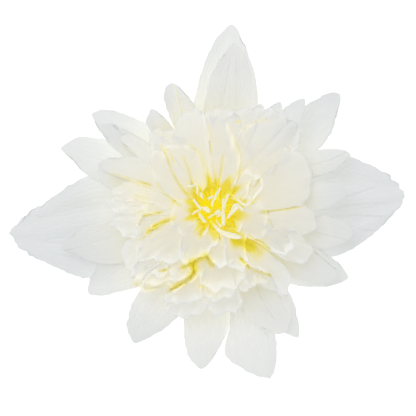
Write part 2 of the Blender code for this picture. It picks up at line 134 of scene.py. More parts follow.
FRONT_TEPALS = {
    "top": (
        83.2, 46.1, 3, (4.5, 6.4, 6, 5.1, 2.4), (4.2, 7.8, 8.2, 5.8, 3.6), 1.4, 0.6, 0.6, 1.7),
    "upper_right_c": (
        66, 31.7, 4, (1, 1.8, 2.3, 2.6, 2.2), (1.5, 2.3, 2.9, 3.3, 3), 1, -0.2, 1.4, 1.8),
    "lower_right": (
        299.5, 38.9, 4, (2.4, 5, 6, 6, 3.9), (2.4, 4.6, 6.1, 6.2, 3.6), 1.4, 0.8, -1, 1.9),
    "left_lower": (
        194, 43.4, 4, (4.6, 7.6, 8, 6.2, 2.5), (4.6, 5.4, 4.2, 3.9, 2.2), -1.2, -0.4, -1, 1.6),
    "right_lower": (
        330.8, 38.4, 4, (5, 6.8, 6.1, 4.5, 3.4), (2.6, 6, 6.2, 4.8, 3), -0.6, -1.4, -0.4, 2),
    "upper_left": (
        143.5, 39, 4, (1.6, 2.4, 2.6, 2.7, 1.6), (2.6, 4.6, 4, 3.6, 2.5), 0.4, 1.4, 1.2, 1.8),
    "upper_right_b": (
        58.3, 34.7, 5, (1.9, 2.5, 2.9, 2.9, 1.8), (1.6, 2.4, 3, 3.6, 2.6), 1, -0.6, 1.2, 1.8),
    "left": (
        158.5, 34.2, 5, (2.6, 3.4, 4.2, 5, 4.4), (2.8, 5, 6.4, 4.9, 2.8), 1.6, 0.8, 0.6, 1.9),
    "upper_left_small": (
        121.7, 32.7, 5, (1.8, 2.5, 3.1, 3.4, 3), (1.1, 1.6, 2, 2.3, 1.2), 2, 1, 2.2, 1.6),
    "right_upper": (
        22.3, 40.3, 5, (2.6, 4.6, 5.2, 4.5, 2.9), (1.4, 1.8, 2.2, 2.6, 1.8), -1, -0.6, -0.8, 2),
    "right_middle": (
        350.5, 38.6, 5, (2.6, 3.4, 3.4, 3.3, 2.7), (2.8, 4.4, 5.1, 5.6, 3.7), -0.4, -0.8, -1.2, 1.9),
    "upper_right_a": (
        50.8, 39.2, 6, (1.6, 2.5, 2.7, 2.9, 2.1), (1.7, 3.4, 4.3, 4.1, 2.2), 0.8, 0.8, 1.6, 1.7),
    "right": (
        7.6, 36.7, 6, (3, 4.2, 4.4, 3.9, 2.9), (2.4, 3.2, 3.7, 3.5, 2.5), -0.8, -1, 0.2, 2.2),
}

# Tint of a tepal's outer half, which paints light and shade: a lower tint greys a tepal in shade and dims
# its glow, a higher one brightens a lit tepal. Most of them, then the ones that differ
OUTER_TINT = 0.1
OUTER_SHADE_TINTS = {
    "back_tepal_right": 0.0,
    "back_tepal_left": 0.0,
    "back_tepal_upper_right": 0.0,
    "back_tepal_lower_left": 0.0,
    "back_tepal_top": 0.16,
    "front_tepal_top": 0.18,
    "front_tepal_lower_right": 0.22,
    "front_tepal_right_upper": 0.14,
    "front_tepal_right_lower": 0.14,
    "front_tepal_right_middle": 0.14,
}

# Creases of some tepals: depth, width, how yellow (a line of painted shade in the crease), and points x, y
# of a line whose left side is the high one
TEPAL_CREASES = {
    "back_tepal_top_left": (
        (0.4, 0.5, 0.75, ((-10.5, 33.9), (-9.4, 29.2), (-8, 24.3), (-6.6, 20.1))),
    ),
    "front_tepal_right_upper": (
        (0.5, 0.7, 0.06, ((27.6, 9.1), (33.4, 11), (37.5, 14.9))),
        (0.3, 0.6, 0.05, ((27, 12.4), (32, 13.8), (35.8, 15.7))),
    ),
    "front_tepal_right_middle": (
        (0.4, 0.8, 0.05, ((27, -1.9), (32, -1.1), (36.4, 0.6))),
        (0.3, 0.6, 0.04, ((27.6, -6.1), (32.5, -7.2), (36.4, -8.3))),
    ),
    "back_tepal_right": (
        (0.22, 0.9, 0.0, ((28.7, 1.4), (36.1, 3.6), (43.6, 6.1))),
        (0.22, 0.9, 0.0, ((28.7, 0), (37.5, 1.4), (46.9, 1.9))),
        (0.22, 0.9, 0.0, ((28.7, -1.7), (37.5, -1.4), (45.8, -1.7))),
        (0.22, 0.9, 0.0, ((28.1, -3.3), (36.1, -4.4), (43, -5.5))),
    ),
    "back_tepal_left": (
        (0.22, 0.9, 0.0, ((-31.4, 1.4), (-39.7, 0), (-47.4, -1.9))),
        (0.22, 0.9, 0.0, ((-31.4, -1.1), (-39.7, -3.3), (-49.1, -5.5))),
        (0.22, 0.9, 0.0, ((-31.4, -4.4), (-39.1, -7.2), (-48, -8.8))),
    ),
    "back_tepal_bottom_right": (
        (0.3, 0.5, 0.08, ((7.2, -26.2), (8.8, -30.9), (10.5, -36.4))),
        (0.3, 0.5, 0.06, ((5.5, -25.6), (5.2, -30.3), (5.8, -35.8))),
        (0.3, 0.5, 0.05, ((8.8, -25.9), (12.1, -29.8), (14.3, -34.2))),
    ),
    "back_tepal_top": (
        (0.3, 0.6, 0.02, ((0.6, 30.3), (2.2, 37.2), (3.9, 44.1))),
    ),
    "front_tepal_top": (
        (0.3, 0.6, 0.04, ((2.2, 29.2), (3.3, 35.3), (4.4, 40.8))),
        (0.25, 0.5, 0.03, ((6.1, 29.2), (6.1, 34.7), (6.1, 39.7))),
    ),
    "back_tepal_lower_left": (
        (0.3, 0.5, 0.05, ((-10.5, -22.1), (-14.9, -26.5), (-19.3, -30.9))),
    ),
    "front_tepal_lower_right": (
        (0.4, 0.7, 0.06, ((11.6, -20.4), (13.2, -24.8), (16, -29.2))),
        (0.3, 0.5, 0.05, ((14.9, -19.3), (18.2, -23.7), (19.8, -27.6))),
    ),
    "front_tepal_left_lower": (
        (0.4, 0.8, 0.05, ((-29.2, -7.7), (-34.2, -9.9), (-39.7, -11))),
    ),
    "front_tepal_right_lower": (
        (0.4, 0.7, 0.06, ((24.8, -9.4), (29.2, -12.7), (33.1, -16))),
    ),
    "front_tepal_upper_left": (
        (0.4, 0.6, 0.1, ((-20.4, 16.5), (-23.7, 19.3), (-27, 22.6))),
    ),
}

# Radius and height around the core that the inner petals stand on, from its foot to the hollow on its top
CORE_PROFILE = (
    (7.2, 10.2),
    (9.2, 12.4),
    (10.0, 15.0),
    (9.6, 17.4),
    (8.2, 19.4),
    (6.4, 20.2),
    (5.2, 19.4),
    (4.5, 17.8),
    (4.4, 16.8),
)
CORE_INSET = 0.3
CORE_HOLE = 0.4
CORE_ROWS = 24
ROUND_COLUMNS = 48

# How the inner petals leave the core, sway and swell, and how their rims frill, lift and droop
PETAL_ROWS = 28
PETAL_COLUMNS_PER_POINT = 5
PETAL_ROOT_HEIGHT = 13.0
PETAL_ROOT_HALF_WIDTH = 0.9
PETAL_RISE = 0.7
PETAL_SPREAD = 1.8
PETAL_SKIN = 0.16
SWAY = 0.3
SWAY_LENGTH = 3.4
SWELL = 0.7
SWELL_LENGTH = 5.0
FRILL_LENGTH = 6.0
FRILL_HEIGHT = 1.9
FRILL_DEPTH = 1.1
FLAT_RUFFLE = 0.2
RIM_RISE = 5.2
RIM_DIP = 3.2
DROOP = 0.9
DROOP_START = 20.0
DROOP_RUN = 6.0

# Creases: the raised lip beside one, how far one works, how it fades and wavers, and its yellow line of
# painted shade
CREASE_LIP = 0.35
CREASE_REACH = 3.0
CREASE_FADE = 2.2
CREASE_WAVER = 0.5
CREASE_WAVER_LENGTH = 2.4
CREASE_LINE_PLACE = 0.2
CREASE_LINE_WIDTH = 0.6

# Tilts and counts of the rays that look for open sky between the inner petals, to paint shade where the
# petals hide it
SKY_RINGS = ((15.0, 3), (40.0, 6), (65.0, 8))
SKY_START = 0.12
SKY_REACH = 5.0

# Yellow of the inner petals. The pairs are for the upper and the lower half of the head, which differ. The
# gap values paint shade in yellow where the petals hide the sky
LOWER_HALF_START = 2.0
LOWER_HALF_RUN = 8.0
BASE_TINTS = (0.19, 0.1)
GAP_SHADE_TINTS = (0.3, 0.55)
GAP_SHADE_STARTS = (0.25, 0.5)
GAP_SHADE_RUN = 0.55
OUTER_START = 16.0
OUTER_RUN = 14.0
OUTER_PALING = 0.8
OUTER_GAP_SHADE_SHARE = 0.6
HALO_TINT = 0.32
HALO_START = 6.0
HALO_RUN = 10.0
HEART_TINT = 0.7
HEART_CENTRE = (-0.5, -0.4)
HEART_REACH = 7.4
HEART_BULGE = 1.3
HEART_BULGE_TURN = 0.4
HEART_STREAK = 0.5
HEART_FADE_START = 0.74
HEART_FADE = 0.55

# Groups of inner petals. A row holds the azimuth and radius of the root, the heights of a rib's two middle
# control points, how far the free edge ruffles, and points x, y, z along the free edge
STRAPS_UPPER = {
    "left_arm": (166, 5.2, 28.2, 20.7, 0.2, (
        (-10.5, 3.3, 22), (-15.4, 6.3, 20.4), (-18.7, 7.4, 19), (-23.2, 8.5, 16.6), (-27.3, 9.9, 13.7),
        (-30.3, 11, 12.2), (-30.9, 13, 12), (-27.6, 14.1, 12.2), (-22.1, 14.6, 14.7), (-17.1, 14.1, 17),
        (-12.7, 10.5, 19.7))),
    "left_arm_back": (158, 6.6, 25.7, 19.8, 0.2, (
        (-13.2, 7.7, 19.2), (-17.1, 12.7, 17), (-21, 15.2, 14.6), (-24.3, 17.6, 11.9), (-25.9, 19.8, 10.9),
        (-24, 21, 11.5), (-20.1, 19.3, 12.8), (-16, 16, 15.9), (-12.1, 10.5, 18.7))),
    "left_inner": (178, 5.8, 25.9, 22.1, 0.25, (
        (-9.9, -1.7, 21.6), (-15.4, -0.3, 19.9), (-19.6, 0.8, 18.2), (-24, 1.7, 16), (-27.3, 3, 14),
        (-28.1, 5.5, 13.1), (-25.4, 7.2, 14.3), (-21.8, 7.7, 16.1), (-17.1, 7.2, 18.4), (-13.2, 5, 20.3),
        (-8.8, 2.2, 21.8))),
    "curl_tip_straps": (140, 5.1, 27.0, 22.8, 0.2, (
        (-8.3, 1.1, 22.8), (-11, 3.3, 22.3), (-14.3, 6.3, 21), (-16.8, 9.9, 19.2), (-17.4, 13.8, 17.6),
        (-16, 16.5, 17.2), (-13.5, 17.4, 17.9), (-10.8, 17.6, 18.6), (-7.7, 17.6, 19.3), (-5.2, 16.8, 20.2),
        (-3.3, 14.3, 21.6), (-2.2, 11, 22.7), (-1.7, 7.2, 23.3))),
    "thin_curl": (140, 4.9, 28.6, 21.7, 0.2, (
        (-8.3, 5.5, 22.9), (-11.3, 9.4, 21.4), (-13.5, 13.2, 19.9), (-14.3, 16, 18.9), (-13.2, 17.4, 18.9),
        (-11.9, 16.3, 19.7), (-11, 13.8, 20.6), (-9.9, 10.5, 21.7), (-7.4, 6.3, 22.9))),
    "left_broad": (142, 6.2, 25.4, 21.5, 0.2, (
        (-11.6, 5.5, 20.4), (-15.4, 11, 18.2), (-17.4, 16.5, 15.8), (-17.6, 19.8, 14.2),
        (-16.3, 22.3, 14.1), (-13.8, 21.8, 14.7), (-11, 21.8, 15.6), (-7.7, 21.2, 16.6), (-5.8, 17.6, 18.5),
        (-5.2, 11.6, 20.5))),
    "left_rim": (128, 5.8, 26.2, 21.7, 0.15, (
        (-9.4, 8.3, 20.9), (-13.8, 12.7, 18.7), (-16, 16.5, 16.8), (-16, 18.7, 15.9), (-13.8, 20.1, 16.1),
        (-11, 19.8, 17.1), (-8.3, 19.8, 17.7), (-6.3, 17.9, 18.8), (-5, 13.2, 20.5))),
    "pale_rim_strap": (106, 5.6, 26.8, 21.4, 0.2, (
        (-6.6, 5, 22.1), (-8.8, 11.6, 20.4), (-10.8, 17.1, 18), (-10.8, 22.6, 15.5), (-8.3, 26.5, 14),
        (-5, 27.8, 13.7), (-2.8, 26.2, 15.1), (-1.7, 22.1, 18), (-1.1, 17.6, 20.1), (-0.6, 12.1, 21.8),
        (-0.6, 6.1, 22.9))),
    "hollow": (87, 5.7, 28.0, 18.7, 0.2, (
        (-3.9, 5.5, 22.3), (-5, 11.6, 20.6), (-4.4, 17.1, 18.6), (-4.1, 22.1, 16.3), (-1.9, 25.1, 15),
        (1.4, 25.4, 15.1), (4.1, 22.9, 17), (5.8, 19.3, 19), (6.9, 15.2, 20.5), (6.9, 11.6, 21.6),
        (5.5, 7.7, 22.6), (2.8, 5.5, 22.8))),
    "top_back": (92, 6.7, 24.8, 20.6, 0.2, (
        (-3.9, 7.2, 21.3), (-5.2, 16.5, 18.8), (-4.4, 23.2, 15.8), (-2.2, 26.7, 13.8), (1.1, 27.8, 13.1),
        (4.7, 27.3, 13.2), (7.2, 24.8, 14.3), (7.7, 18.2, 17.5), (5, 8.3, 20.9))),
    "fleck_petal": (64, 5.6, 28.4, 18.5, 0.2, (
        (3.3, 4.4, 22.7), (4.4, 9.9, 21.2), (5, 14.9, 19.6), (5.8, 19.3, 17.8), (8, 22.3, 16.3),
        (10.8, 24, 15), (13.5, 24.5, 13.8), (16.3, 24.3, 14.1), (18.5, 22.1, 13.6), (18.7, 18.5, 14.7),
        (16.5, 14.6, 17.5), (13.8, 11, 19.8), (9.9, 6.6, 21.8))),
    "fleck_back": (66, 6.7, 27.5, 17.2, 0.3, (
        (5.5, 8.3, 20.9), (3.9, 16.5, 18.8), (3, 23.2, 16), (4.7, 26.7, 13.9), (8, 27.8, 12.8),
        (11.9, 27.6, 12), (15.4, 27.8, 12.8), (18.5, 26.5, 14.3), (20.7, 22.6, 14.1), (19, 16.5, 14.4),
        (13.2, 8.8, 18.9))),
    "upper_right": (46, 6.4, 27.9, 17.2, 0.2, (
        (8.8, 6.6, 20.9), (12.1, 13.8, 18.6), (14.9, 18.7, 15.7), (17.1, 23.2, 13.9), (20.4, 24.8, 13.9),
        (22.9, 23.2, 14.5), (23.7, 19.8, 10.8), (22.3, 16, 13.4), (19, 11, 16.6), (13.2, 5.5, 19.8))),
}
PETALS_RIGHT = {
    "right_upper": (40, 5.5, 26.6, 22.1, 0.2, (
        (8.3, 4.4, 22.2), (9.4, 9.4, 21), (11.9, 13.8, 19.1), (15.4, 17.1, 16.8), (18.7, 17.9, 15.1),
        (21, 15.7, 15.1), (19.3, 11.3, 17.5), (16.3, 7.2, 19.9), (11.6, 3.9, 21.8))),
    "right_broad": (14, 5.2, 26.9, 22.3, 0.2, (
        (9.4, 3.3, 22.4), (12.1, 6.6, 21.3), (14.9, 9.9, 19.9), (17.4, 13, 18.2), (19.8, 15.4, 16),
        (22.9, 16, 14), (25.6, 13.8, 13), (26.7, 9.6, 13.5), (26.5, 5, 14.6), (24.5, 1.7, 16.3),
        (19.3, 0.3, 19.4), (13.2, -0.8, 21.8))),
    "right_low": (352, 5.6, 26.5, 21.9, 0.2, (
        (9.9, 0.6, 21.6), (15.4, 0.8, 19.7), (21, 1.4, 17.4), (25.1, 1.1, 15.3), (27.8, -1.7, 13.9),
        (27.8, -5, 13.6), (25.1, -6.9, 15.1), (22.1, -6.9, 16.9), (18.5, -7.7, 18.4), (14.3, -7.4, 19.9),
        (10.5, -5, 21.5))),
    "right_fold": (338, 5.8, 26.3, 21.5, 0.3, (
        (9.9, -4.4, 21.4), (14.3, -5.2, 19.9), (18.5, -5.8, 18.3), (22.1, -5.8, 17.2), (24.8, -8.3, 15.3),
        (27.3, -11.3, 12.8), (25.4, -14.1, 12.9), (22.1, -14.6, 14.7), (18.7, -13.2, 16.6),
        (14.9, -11, 18.6), (10.5, -7.7, 20.7))),
    "right_curl": (333, 5.2, 27.0, 22.4, 0.5, (
        (8.8, -6.1, 22.2), (12.1, -7.2, 20.9), (14.9, -5.8, 20.2), (17.9, -5.5, 19.1), (20.7, -7.4, 17.7),
        (21.5, -10.5, 16.7), (19.6, -12.1, 17.7), (17.1, -11.6, 19.3), (14.9, -10.2, 20.2),
        (12.1, -8.5, 21.1))),
    "diagonal": (312, 5.9, 26.2, 21.1, 0.3, (
        (5.2, -7.7, 21.6), (8.8, -9.6, 20.5), (12.1, -11.3, 19.1), (15.2, -13, 17.6), (18.2, -14.3, 16.3),
        (20.7, -17.1, 14.3), (20.7, -20.7, 12.6), (19.8, -23.4, 11.8), (17.9, -23.2, 12.9),
        (17.1, -20.4, 14.6), (16, -18.2, 16.3), (13.2, -16.8, 18.2), (10.5, -16, 19.4), (8.5, -14.1, 20.6),
        (5.5, -10.2, 21.8))),
    "diagonal_under": (306, 8.0, 22.8, 19.2, 0.4, (
        (6.6, -12.7, 18.4), (9.6, -15.4, 16.9), (13.2, -16.8, 15.4), (15.2, -18.5, 14.3),
        (13.2, -20.1, 14.5), (10.2, -20.7, 15.4), (8, -19.6, 16.2), (6.6, -17.1, 17.2))),
    "lower_right_back": (318, 8.6, 21.4, 18.8, 0.2, (
        (8.8, -10.5, 18.5), (13.8, -12.1, 16.6), (18.5, -14.9, 13.8), (20.7, -18.5, 11.4),
        (19.3, -21.5, 10.8), (16, -22.1, 11.7), (12.7, -20.4, 13.6), (9.1, -16.5, 16.3))),
    "heart_right": (350, 5.0, 27.1, 23.4, 0.28, (
        (6.1, 0.6, 23.1), (8.8, 0.3, 22.9), (10.5, 1.4, 23.3), (12.1, 2.2, 23.3), (13.5, 1.1, 22.5),
        (14.6, -1.7, 21.4), (14.3, -5.2, 21.1), (12.7, -7.4, 21.5), (9.6, -7.7, 22.3), (7.2, -6.1, 23))),
    "bright_curl": (30, 4.9, 29.5, 19.9, 0.25, (
        (6.6, 1.1, 23.4), (8.8, 3.3, 23.4), (9.4, 6.1, 23.2), (10.2, 8.3, 22.7), (11.9, 9.6, 22.1),
        (13.5, 8.8, 21.6), (13.2, 6.3, 22.1), (11.9, 3.9, 22.7), (9.9, 1.4, 23))),
    "fleck_curl": (52, 5.1, 27.6, 22.1, 0.25, (
        (4.7, 3.6, 23.3), (5.5, 6.3, 23.4), (6.3, 8.8, 23), (7.7, 10.8, 22.4), (9.6, 10.8, 21.7),
        (10.8, 8.8, 21.5), (9.9, 5.8, 22), (8, 3, 22.8))),
}
CURLS_LEFT = {
    "heart_left": (188, 4.9, 27.1, 23.9, 0.25, (
        (-3, -4.4, 23.5), (-4.4, -6.6, 23.4), (-7.2, -7.2, 23), (-9.9, -5.8, 22.5), (-11.6, -3.3, 22.4),
        (-11.9, -0.3, 22.5), (-10.5, 1.9, 23), (-8, 2.8, 23.4), (-5, 2.8, 23.5))),
    "band_top": (184, 5.9, 25.9, 21.8, 0.45, (
        (-13.2, -1.1, 20.7), (-18.2, -0.6, 19.4), (-21, -2.2, 18.6), (-21, -5.2, 18.4), (-21.8, -8, 17.3),
        (-23.7, -7.4, 15.9), (-26.2, -6.1, 14.5), (-28.1, -3.9, 13.4), (-27.3, -1.7, 14.2),
        (-26.2, 0.6, 15.1), (-24.5, 2.2, 16.1), (-22.3, 2.8, 17.2), (-18.7, 2.2, 18.7),
        (-13.8, 1.1, 20.4))),
    "band_foot": (206, 7.5, 23.5, 19.6, 0.4, (
        (-16, -7.7, 17.5), (-19.8, -9.4, 16), (-21, -12.1, 15.3), (-21.2, -15.4, 14), (-22.6, -16.8, 12.4),
        (-24.5, -15.4, 11.6), (-25.1, -12.4, 12.3), (-24.3, -9.1, 13.7), (-21.5, -7.2, 15.4),
        (-17.6, -6.1, 17))),
    "side_lobe": (177, 6.4, 25.4, 20.5, 0.5, (
        (-14.9, -0.6, 19.6), (-20.4, -0.6, 17.6), (-24.3, -0.8, 15.6), (-26.7, -1.1, 14.1),
        (-28.7, 0.3, 12.9), (-29.5, 2.5, 12.3), (-27.8, 4.4, 13.2), (-24.8, 4.4, 14.9), (-20.4, 3.9, 17.2),
        (-15.4, 2.8, 19.3))),
    "small_curl_a": (194, 6.2, 26.0, 20.6, 0.5, (
        (-14.9, -2.8, 19.7), (-16.8, -3.9, 19.3), (-17.6, -5.8, 18.9), (-19.3, -6.9, 18.2),
        (-21, -6.3, 17.5), (-21.2, -4.4, 17.6), (-20.1, -2.5, 18.2), (-18.7, -1.1, 18.6),
        (-16.5, -1.1, 19.2))),
    "small_curl_b": (188, 5.8, 26.5, 21.5, 0.4, (
        (-12.7, -1.1, 21.1), (-16, -0.8, 20.5), (-18.5, -0.8, 19.6), (-19.8, 0.6, 19), (-18.5, 1.7, 19.5),
        (-15.7, 1.4, 20.4), (-12.7, 0.3, 21.1))),
    "between_curls": (196, 6.8, 24.8, 20.8, 0.3, (
        (-11, -2.8, 20.6), (-14.1, -4.4, 19.8), (-16.5, -5.5, 19), (-17.9, -4.1, 18.7), (-17.1, -1.9, 19),
        (-14.3, -1.1, 19.9), (-11, -1.1, 20.7))),
    "dome": (212, 5.5, 25.9, 23.5, 0.4, (
        (-4.4, -7.2, 22.3), (-7.2, -10.8, 21.2), (-9.4, -13.5, 20.1), (-12.1, -14.6, 19.4),
        (-14.6, -13.8, 19.2), (-16.8, -13.2, 18.7), (-19, -14.1, 17.1), (-21.2, -13.2, 15.9),
        (-21.2, -11, 16.3), (-19.8, -8.3, 17.6), (-17.4, -5.8, 19), (-14.3, -3.9, 20.2),
        (-10.5, -2.2, 21.3), (-6.6, -1.7, 22.1))),
    "dome_skirt": (222, 7.3, 24.1, 19.3, 0.5, (
        (-11.6, -11.6, 18.4), (-13, -14.3, 17.5), (-13.2, -17.1, 16.7), (-14.9, -18.5, 15.6),
        (-17.1, -17.9, 15), (-19.3, -18.7, 13.5), (-22.1, -18.7, 11.8), (-22.6, -16.5, 12.5),
        (-21, -14.3, 14.1), (-18.2, -12.4, 15.9), (-13.8, -9.9, 18.1))),
    "left_foot": (226, 8.9, 21.4, 17.8, 0.5, (
        (-9.9, -16, 16.2), (-8.8, -19.3, 15.2), (-10.5, -20.4, 14.3), (-13.2, -21.5, 12.9),
        (-16.3, -22.3, 11.5), (-19.3, -22.6, 10), (-21.2, -21, 9.8), (-21.8, -18.7, 10.5),
        (-19.3, -16.5, 12.5), (-15.4, -14.3, 14.9))),
    "left_foot_fold": (228, 8.2, 22.5, 18.7, 0.5, (
        (-10.5, -14.3, 17.3), (-9.1, -17.9, 16.5), (-10.5, -19.3, 15.7), (-13.5, -19.8, 14.5),
        (-16.5, -20.7, 12.9), (-19.3, -20.4, 11.7), (-19.6, -18.5, 12.3), (-17.1, -16, 14.4),
        (-13.8, -13.2, 16.4))),
    "arrow_lobe": (234, 6.3, 25.7, 20.9, 0.4, (
        (-7.7, -11, 20.3), (-8.3, -14.3, 19.9), (-7.4, -15.4, 19.8), (-6.3, -17.4, 19.4), (-8.8, -19, 18.1),
        (-10.8, -18.7, 17.7), (-12.4, -17.1, 17.8), (-13.5, -14.9, 18), (-12.7, -12.4, 18.7),
        (-9.9, -9.9, 19.8))),
}
CURLS_FOOT = {
    "heart_foot": (240, 4.9, 27.7, 22.8, 0.4, (
        (1.7, -5.2, 23.5), (1.4, -8, 23.4), (-0.3, -10.2, 23.4), (-2.2, -11.6, 23.2), (-4.4, -13, 22.5),
        (-6.6, -13.8, 21.8), (-8.8, -14.6, 20.9), (-9.9, -11.3, 21.4), (-9.1, -7.7, 22.3), (-6.9, -4.7, 23),
        (-3.9, -2.8, 23.4))),
    "fold_left": (272, 5.3, 27.1, 22.2, 0.4, (
        (6.6, -6.6, 22.4), (6.3, -11, 21.8), (4.7, -14.3, 21.3), (3, -15.7, 21.1), (0.6, -15.2, 21.3),
        (-1.7, -13.2, 21.6), (-3.3, -9.9, 21.8), (-3.9, -5.5, 22.6))),
    "fold_right": (292, 5.0, 27.9, 22.1, 0.4, (
        (8.8, -5.5, 22.4), (8.8, -8.8, 22.2), (8.8, -11.9, 21.7), (9.4, -14.3, 21), (8.5, -16.3, 20.7),
        (6.6, -16.8, 20.6), (4.4, -15.4, 21.4), (3.3, -13.2, 22.3), (3.3, -9.9, 23), (1.7, -6.1, 23.2))),
    "foot_a": (270, 7.1, 24.5, 20.0, 0.5, (
        (4.4, -9.9, 20.2), (7.4, -14.3, 18.9), (8.3, -17.9, 17.6), (6.9, -20.1, 17), (4.4, -21.5, 16.8),
        (1.7, -21.5, 17), (-0.8, -22.1, 16.7), (-2.8, -21, 17.1), (-4.1, -18.7, 18), (-5.2, -16, 18.9),
        (-5, -13.2, 19.6), (-3.3, -9.4, 20.5))),
    "foot_b": (272, 8.2, 22.6, 18.7, 0.5, (
        (4.4, -15.4, 17.7), (6.1, -20.4, 15.8), (5.2, -22.9, 14.9), (3, -24.5, 14.2), (0.3, -25.1, 13.8),
        (-2.2, -24.3, 14.2), (-3.6, -22.1, 15.2), (-3.6, -19.3, 16.4), (-2.8, -15.4, 17.8))),
    "foot_c": (271, 9.2, 20.6, 17.0, 0.5, (
        (5, -17.6, 15.5), (7.2, -23.4, 13.1), (7.4, -26.2, 11.7), (5.5, -27.8, 10.7), (2.8, -28.4, 10.2),
        (-0.3, -28.1, 10.4), (-2.5, -26.7, 11.3), (-4.1, -24.5, 12.5), (-4.1, -21.5, 14),
        (-2.8, -17.1, 16))),
    "stack_top": (256, 8.0, 23.0, 18.7, 0.4, (
        (-0.6, -16.5, 17.6), (-2.2, -21.5, 15.6), (-3.6, -24, 14.3), (-6.1, -25.4, 13.4),
        (-9.1, -25.6, 12.6), (-12.1, -25.4, 12), (-13.8, -24.5, 11.9), (-13.2, -23.2, 12.8),
        (-11, -22.3, 13.8), (-8, -20.7, 15.4), (-5.5, -18.7, 16.6), (-4.1, -17.1, 17.3),
        (-2.2, -14.3, 18.4))),
    "stack_low": (257, 9.2, 20.1, 17.0, 0.4, (
        (-1.1, -20.4, 14.3), (-1.7, -25.9, 11.6), (-3, -28.1, 10.2), (-6.1, -29.2, 9.1), (-9.6, -29.5, 8.2),
        (-12.7, -28.7, 7.9), (-13.8, -27, 8.6), (-12.7, -25.6, 9.8), (-9.4, -24.5, 11.2),
        (-5.5, -21.5, 13.5), (-2.8, -17.6, 15.5))),
    "foot_right": (288, 8.6, 21.8, 18.5, 0.4, (
        (7.7, -13.2, 17.6), (10.5, -16.5, 16), (11.3, -19.6, 14.7), (9.6, -21.5, 14.4), (7.4, -22.1, 14.4),
        (6.1, -20.4, 15.2), (5, -17.1, 16.7), (3.3, -14.3, 17.8))),
}
INNER_PETALS = {
    "straps_upper": STRAPS_UPPER,
    "petals_right": PETALS_RIGHT,
    "curls_left": CURLS_LEFT,
    "curls_foot": CURLS_FOOT,
}

# Creases of the head in the same way as those of the tepals; their yellow lines are painted shade
CREASES = (
    # creases between the straps
    (0.5, 0.8, 0.5, ((-7.7, 4.4), (-9.9, 7.2), (-11.6, 10.5), (-13.2, 14.9), (-14.1, 16.5))),
    (0.3, 0.5, 0.45, ((-11, 13.2), (-11.9, 15.2), (-13.2, 16.5))),
    (0.5, 0.7, 0.5, ((-6.1, 7.2), (-6.9, 10.5), (-8.3, 13.8))),
    (0.3, 0.7, 0.4, ((-2.2, 8.8), (-3, 12.1), (-4.1, 15.2), (-6.1, 17.1))),
    (0.3, 0.6, 0.3, ((-1.1, 16), (-1.4, 19.3), (-1.9, 22.6))),
    (0.7, 0.7, 0.6, ((0.6, 5), (1.4, 8.8), (2.2, 14.3))),
    (0.3, 0.8, 0.35, ((6.6, 11), (6.6, 15.4), (5.5, 18.7), (3.9, 22.1))),
    (0.6, 0.8, 0.6, ((-27.8, 10.2), (-23.2, 8.8), (-17.9, 7.2))),
    (0.5, 0.6, 0.4, ((-15.2, 6.9), (-12.7, 3.9), (-9.9, 1.9))),
    (0.3, 0.6, 0.4, ((-16.3, 22.6), (-14.9, 21.5), (-13, 20.4))),
    (0.6, 0.7, 0.5, ((8.8, 22.6), (11, 24.3), (13.2, 24.8), (16, 24.5))),
    (0.3, 0.5, 0.6, ((6.6, 24.3), (7.4, 24.5))),
    (0.3, 0.5, 0.15, ((7.7, 10.8), (9.4, 12.7), (11, 14.1))),
    (0.3, 0.5, 0.35, ((5.5, 6.6), (6.9, 9.4))),
    # creases of the right side
    (0.8, 0.5, 0.6, ((11.3, 6.9), (12.4, 8.5))),
    (0.7, 0.6, 0.1, ((17.9, 14.1), (16.3, 10.5))),
    (1.0, 0.6, 0.55, ((13.2, -0.3), (18.2, 0.3), (23.7, 1.1))),
    (0.8, 0.6, 0.4, ((14.3, -0.6), (15.7, -3.6))),
    (1.0, 0.8, 0.4, ((11, -7.4), (13.2, -8.8), (15.2, -10.5))),
    (0.8, 2.0, 0.9, ((5.5, -7.7), (7.4, -8.3), (10.2, -9.6))),
    (1.6, 0.8, 0.9, ((7.7, -13.5), (9.9, -15.7), (12.1, -16.5), (14.9, -17.4))),
    # creases of the lower left
    (1.0, 1.4, 0.9, ((-11.3, -2.5), (-14.9, -3.9), (-17.4, -5.8))),
    (0.6, 0.6, 0.25, ((-17.4, -5.8), (-19.8, -8.5), (-21.2, -11.6))),
    (0.8, 0.7, 0.7, ((-17.9, -1.1), (-15.4, -0.6))),
    (1.0, 0.8, 0.5, ((-19.3, -1.9), (-21, -4.1))),
    (0.7, 0.5, 0.4, ((-30.6, -4.7), (-28.1, -5))),
    (1.2, 0.6, 0.9, ((-14.3, -16.3), (-13.2, -16))),
    (1.4, 1.7, 0.9, ((-8.5, -15.2), (-5.8, -14.1), (-2.2, -12.1), (-0.6, -14.6))),
    (1.9, 1.9, 0.95, ((-6.1, -14.3), (-5.2, -16.5), (-6.3, -18.5), (-8.5, -20.1), (-11, -21.5))),
    (0.5, 0.5, 0.4, ((11.9, -19.8), (13.2, -23.4))),
    # broad, shallow creases: wide bands of painted shade in yellow
    (0.9, 4.5, 0.5, ((-21.5, -19.8), (-17.6, -21.2), (-13.2, -21.2))),
    (0.2, 4.5, 0.7, ((5.5, -8.3), (8.5, -9.1), (12.7, -11.6))),
    (0.2, 5.0, 0.16, ((-27, 7.2), (-22.6, 5.8), (-17.6, 4.1))),
    (0.4, 0.6, 0.12, ((11.6, 3.3), (17.1, 5.5), (23.7, 7.2))),
    (0.35, 0.5, 0.1, ((13.2, 7.2), (18.7, 10.5), (23.7, 13.8))),
    (0.35, 0.5, 0.12, ((13.2, -3.3), (19.6, -3.3), (25.9, -2.8))),
    (0.4, 0.5, 0.3, ((-24.8, 18.2), (-22.6, 16.5), (-20.1, 15.2))),
    (0.4, 2.4, 0.3, ((-4.4, -19.8), (-2.2, -21.5), (0.6, -22.3))),
)

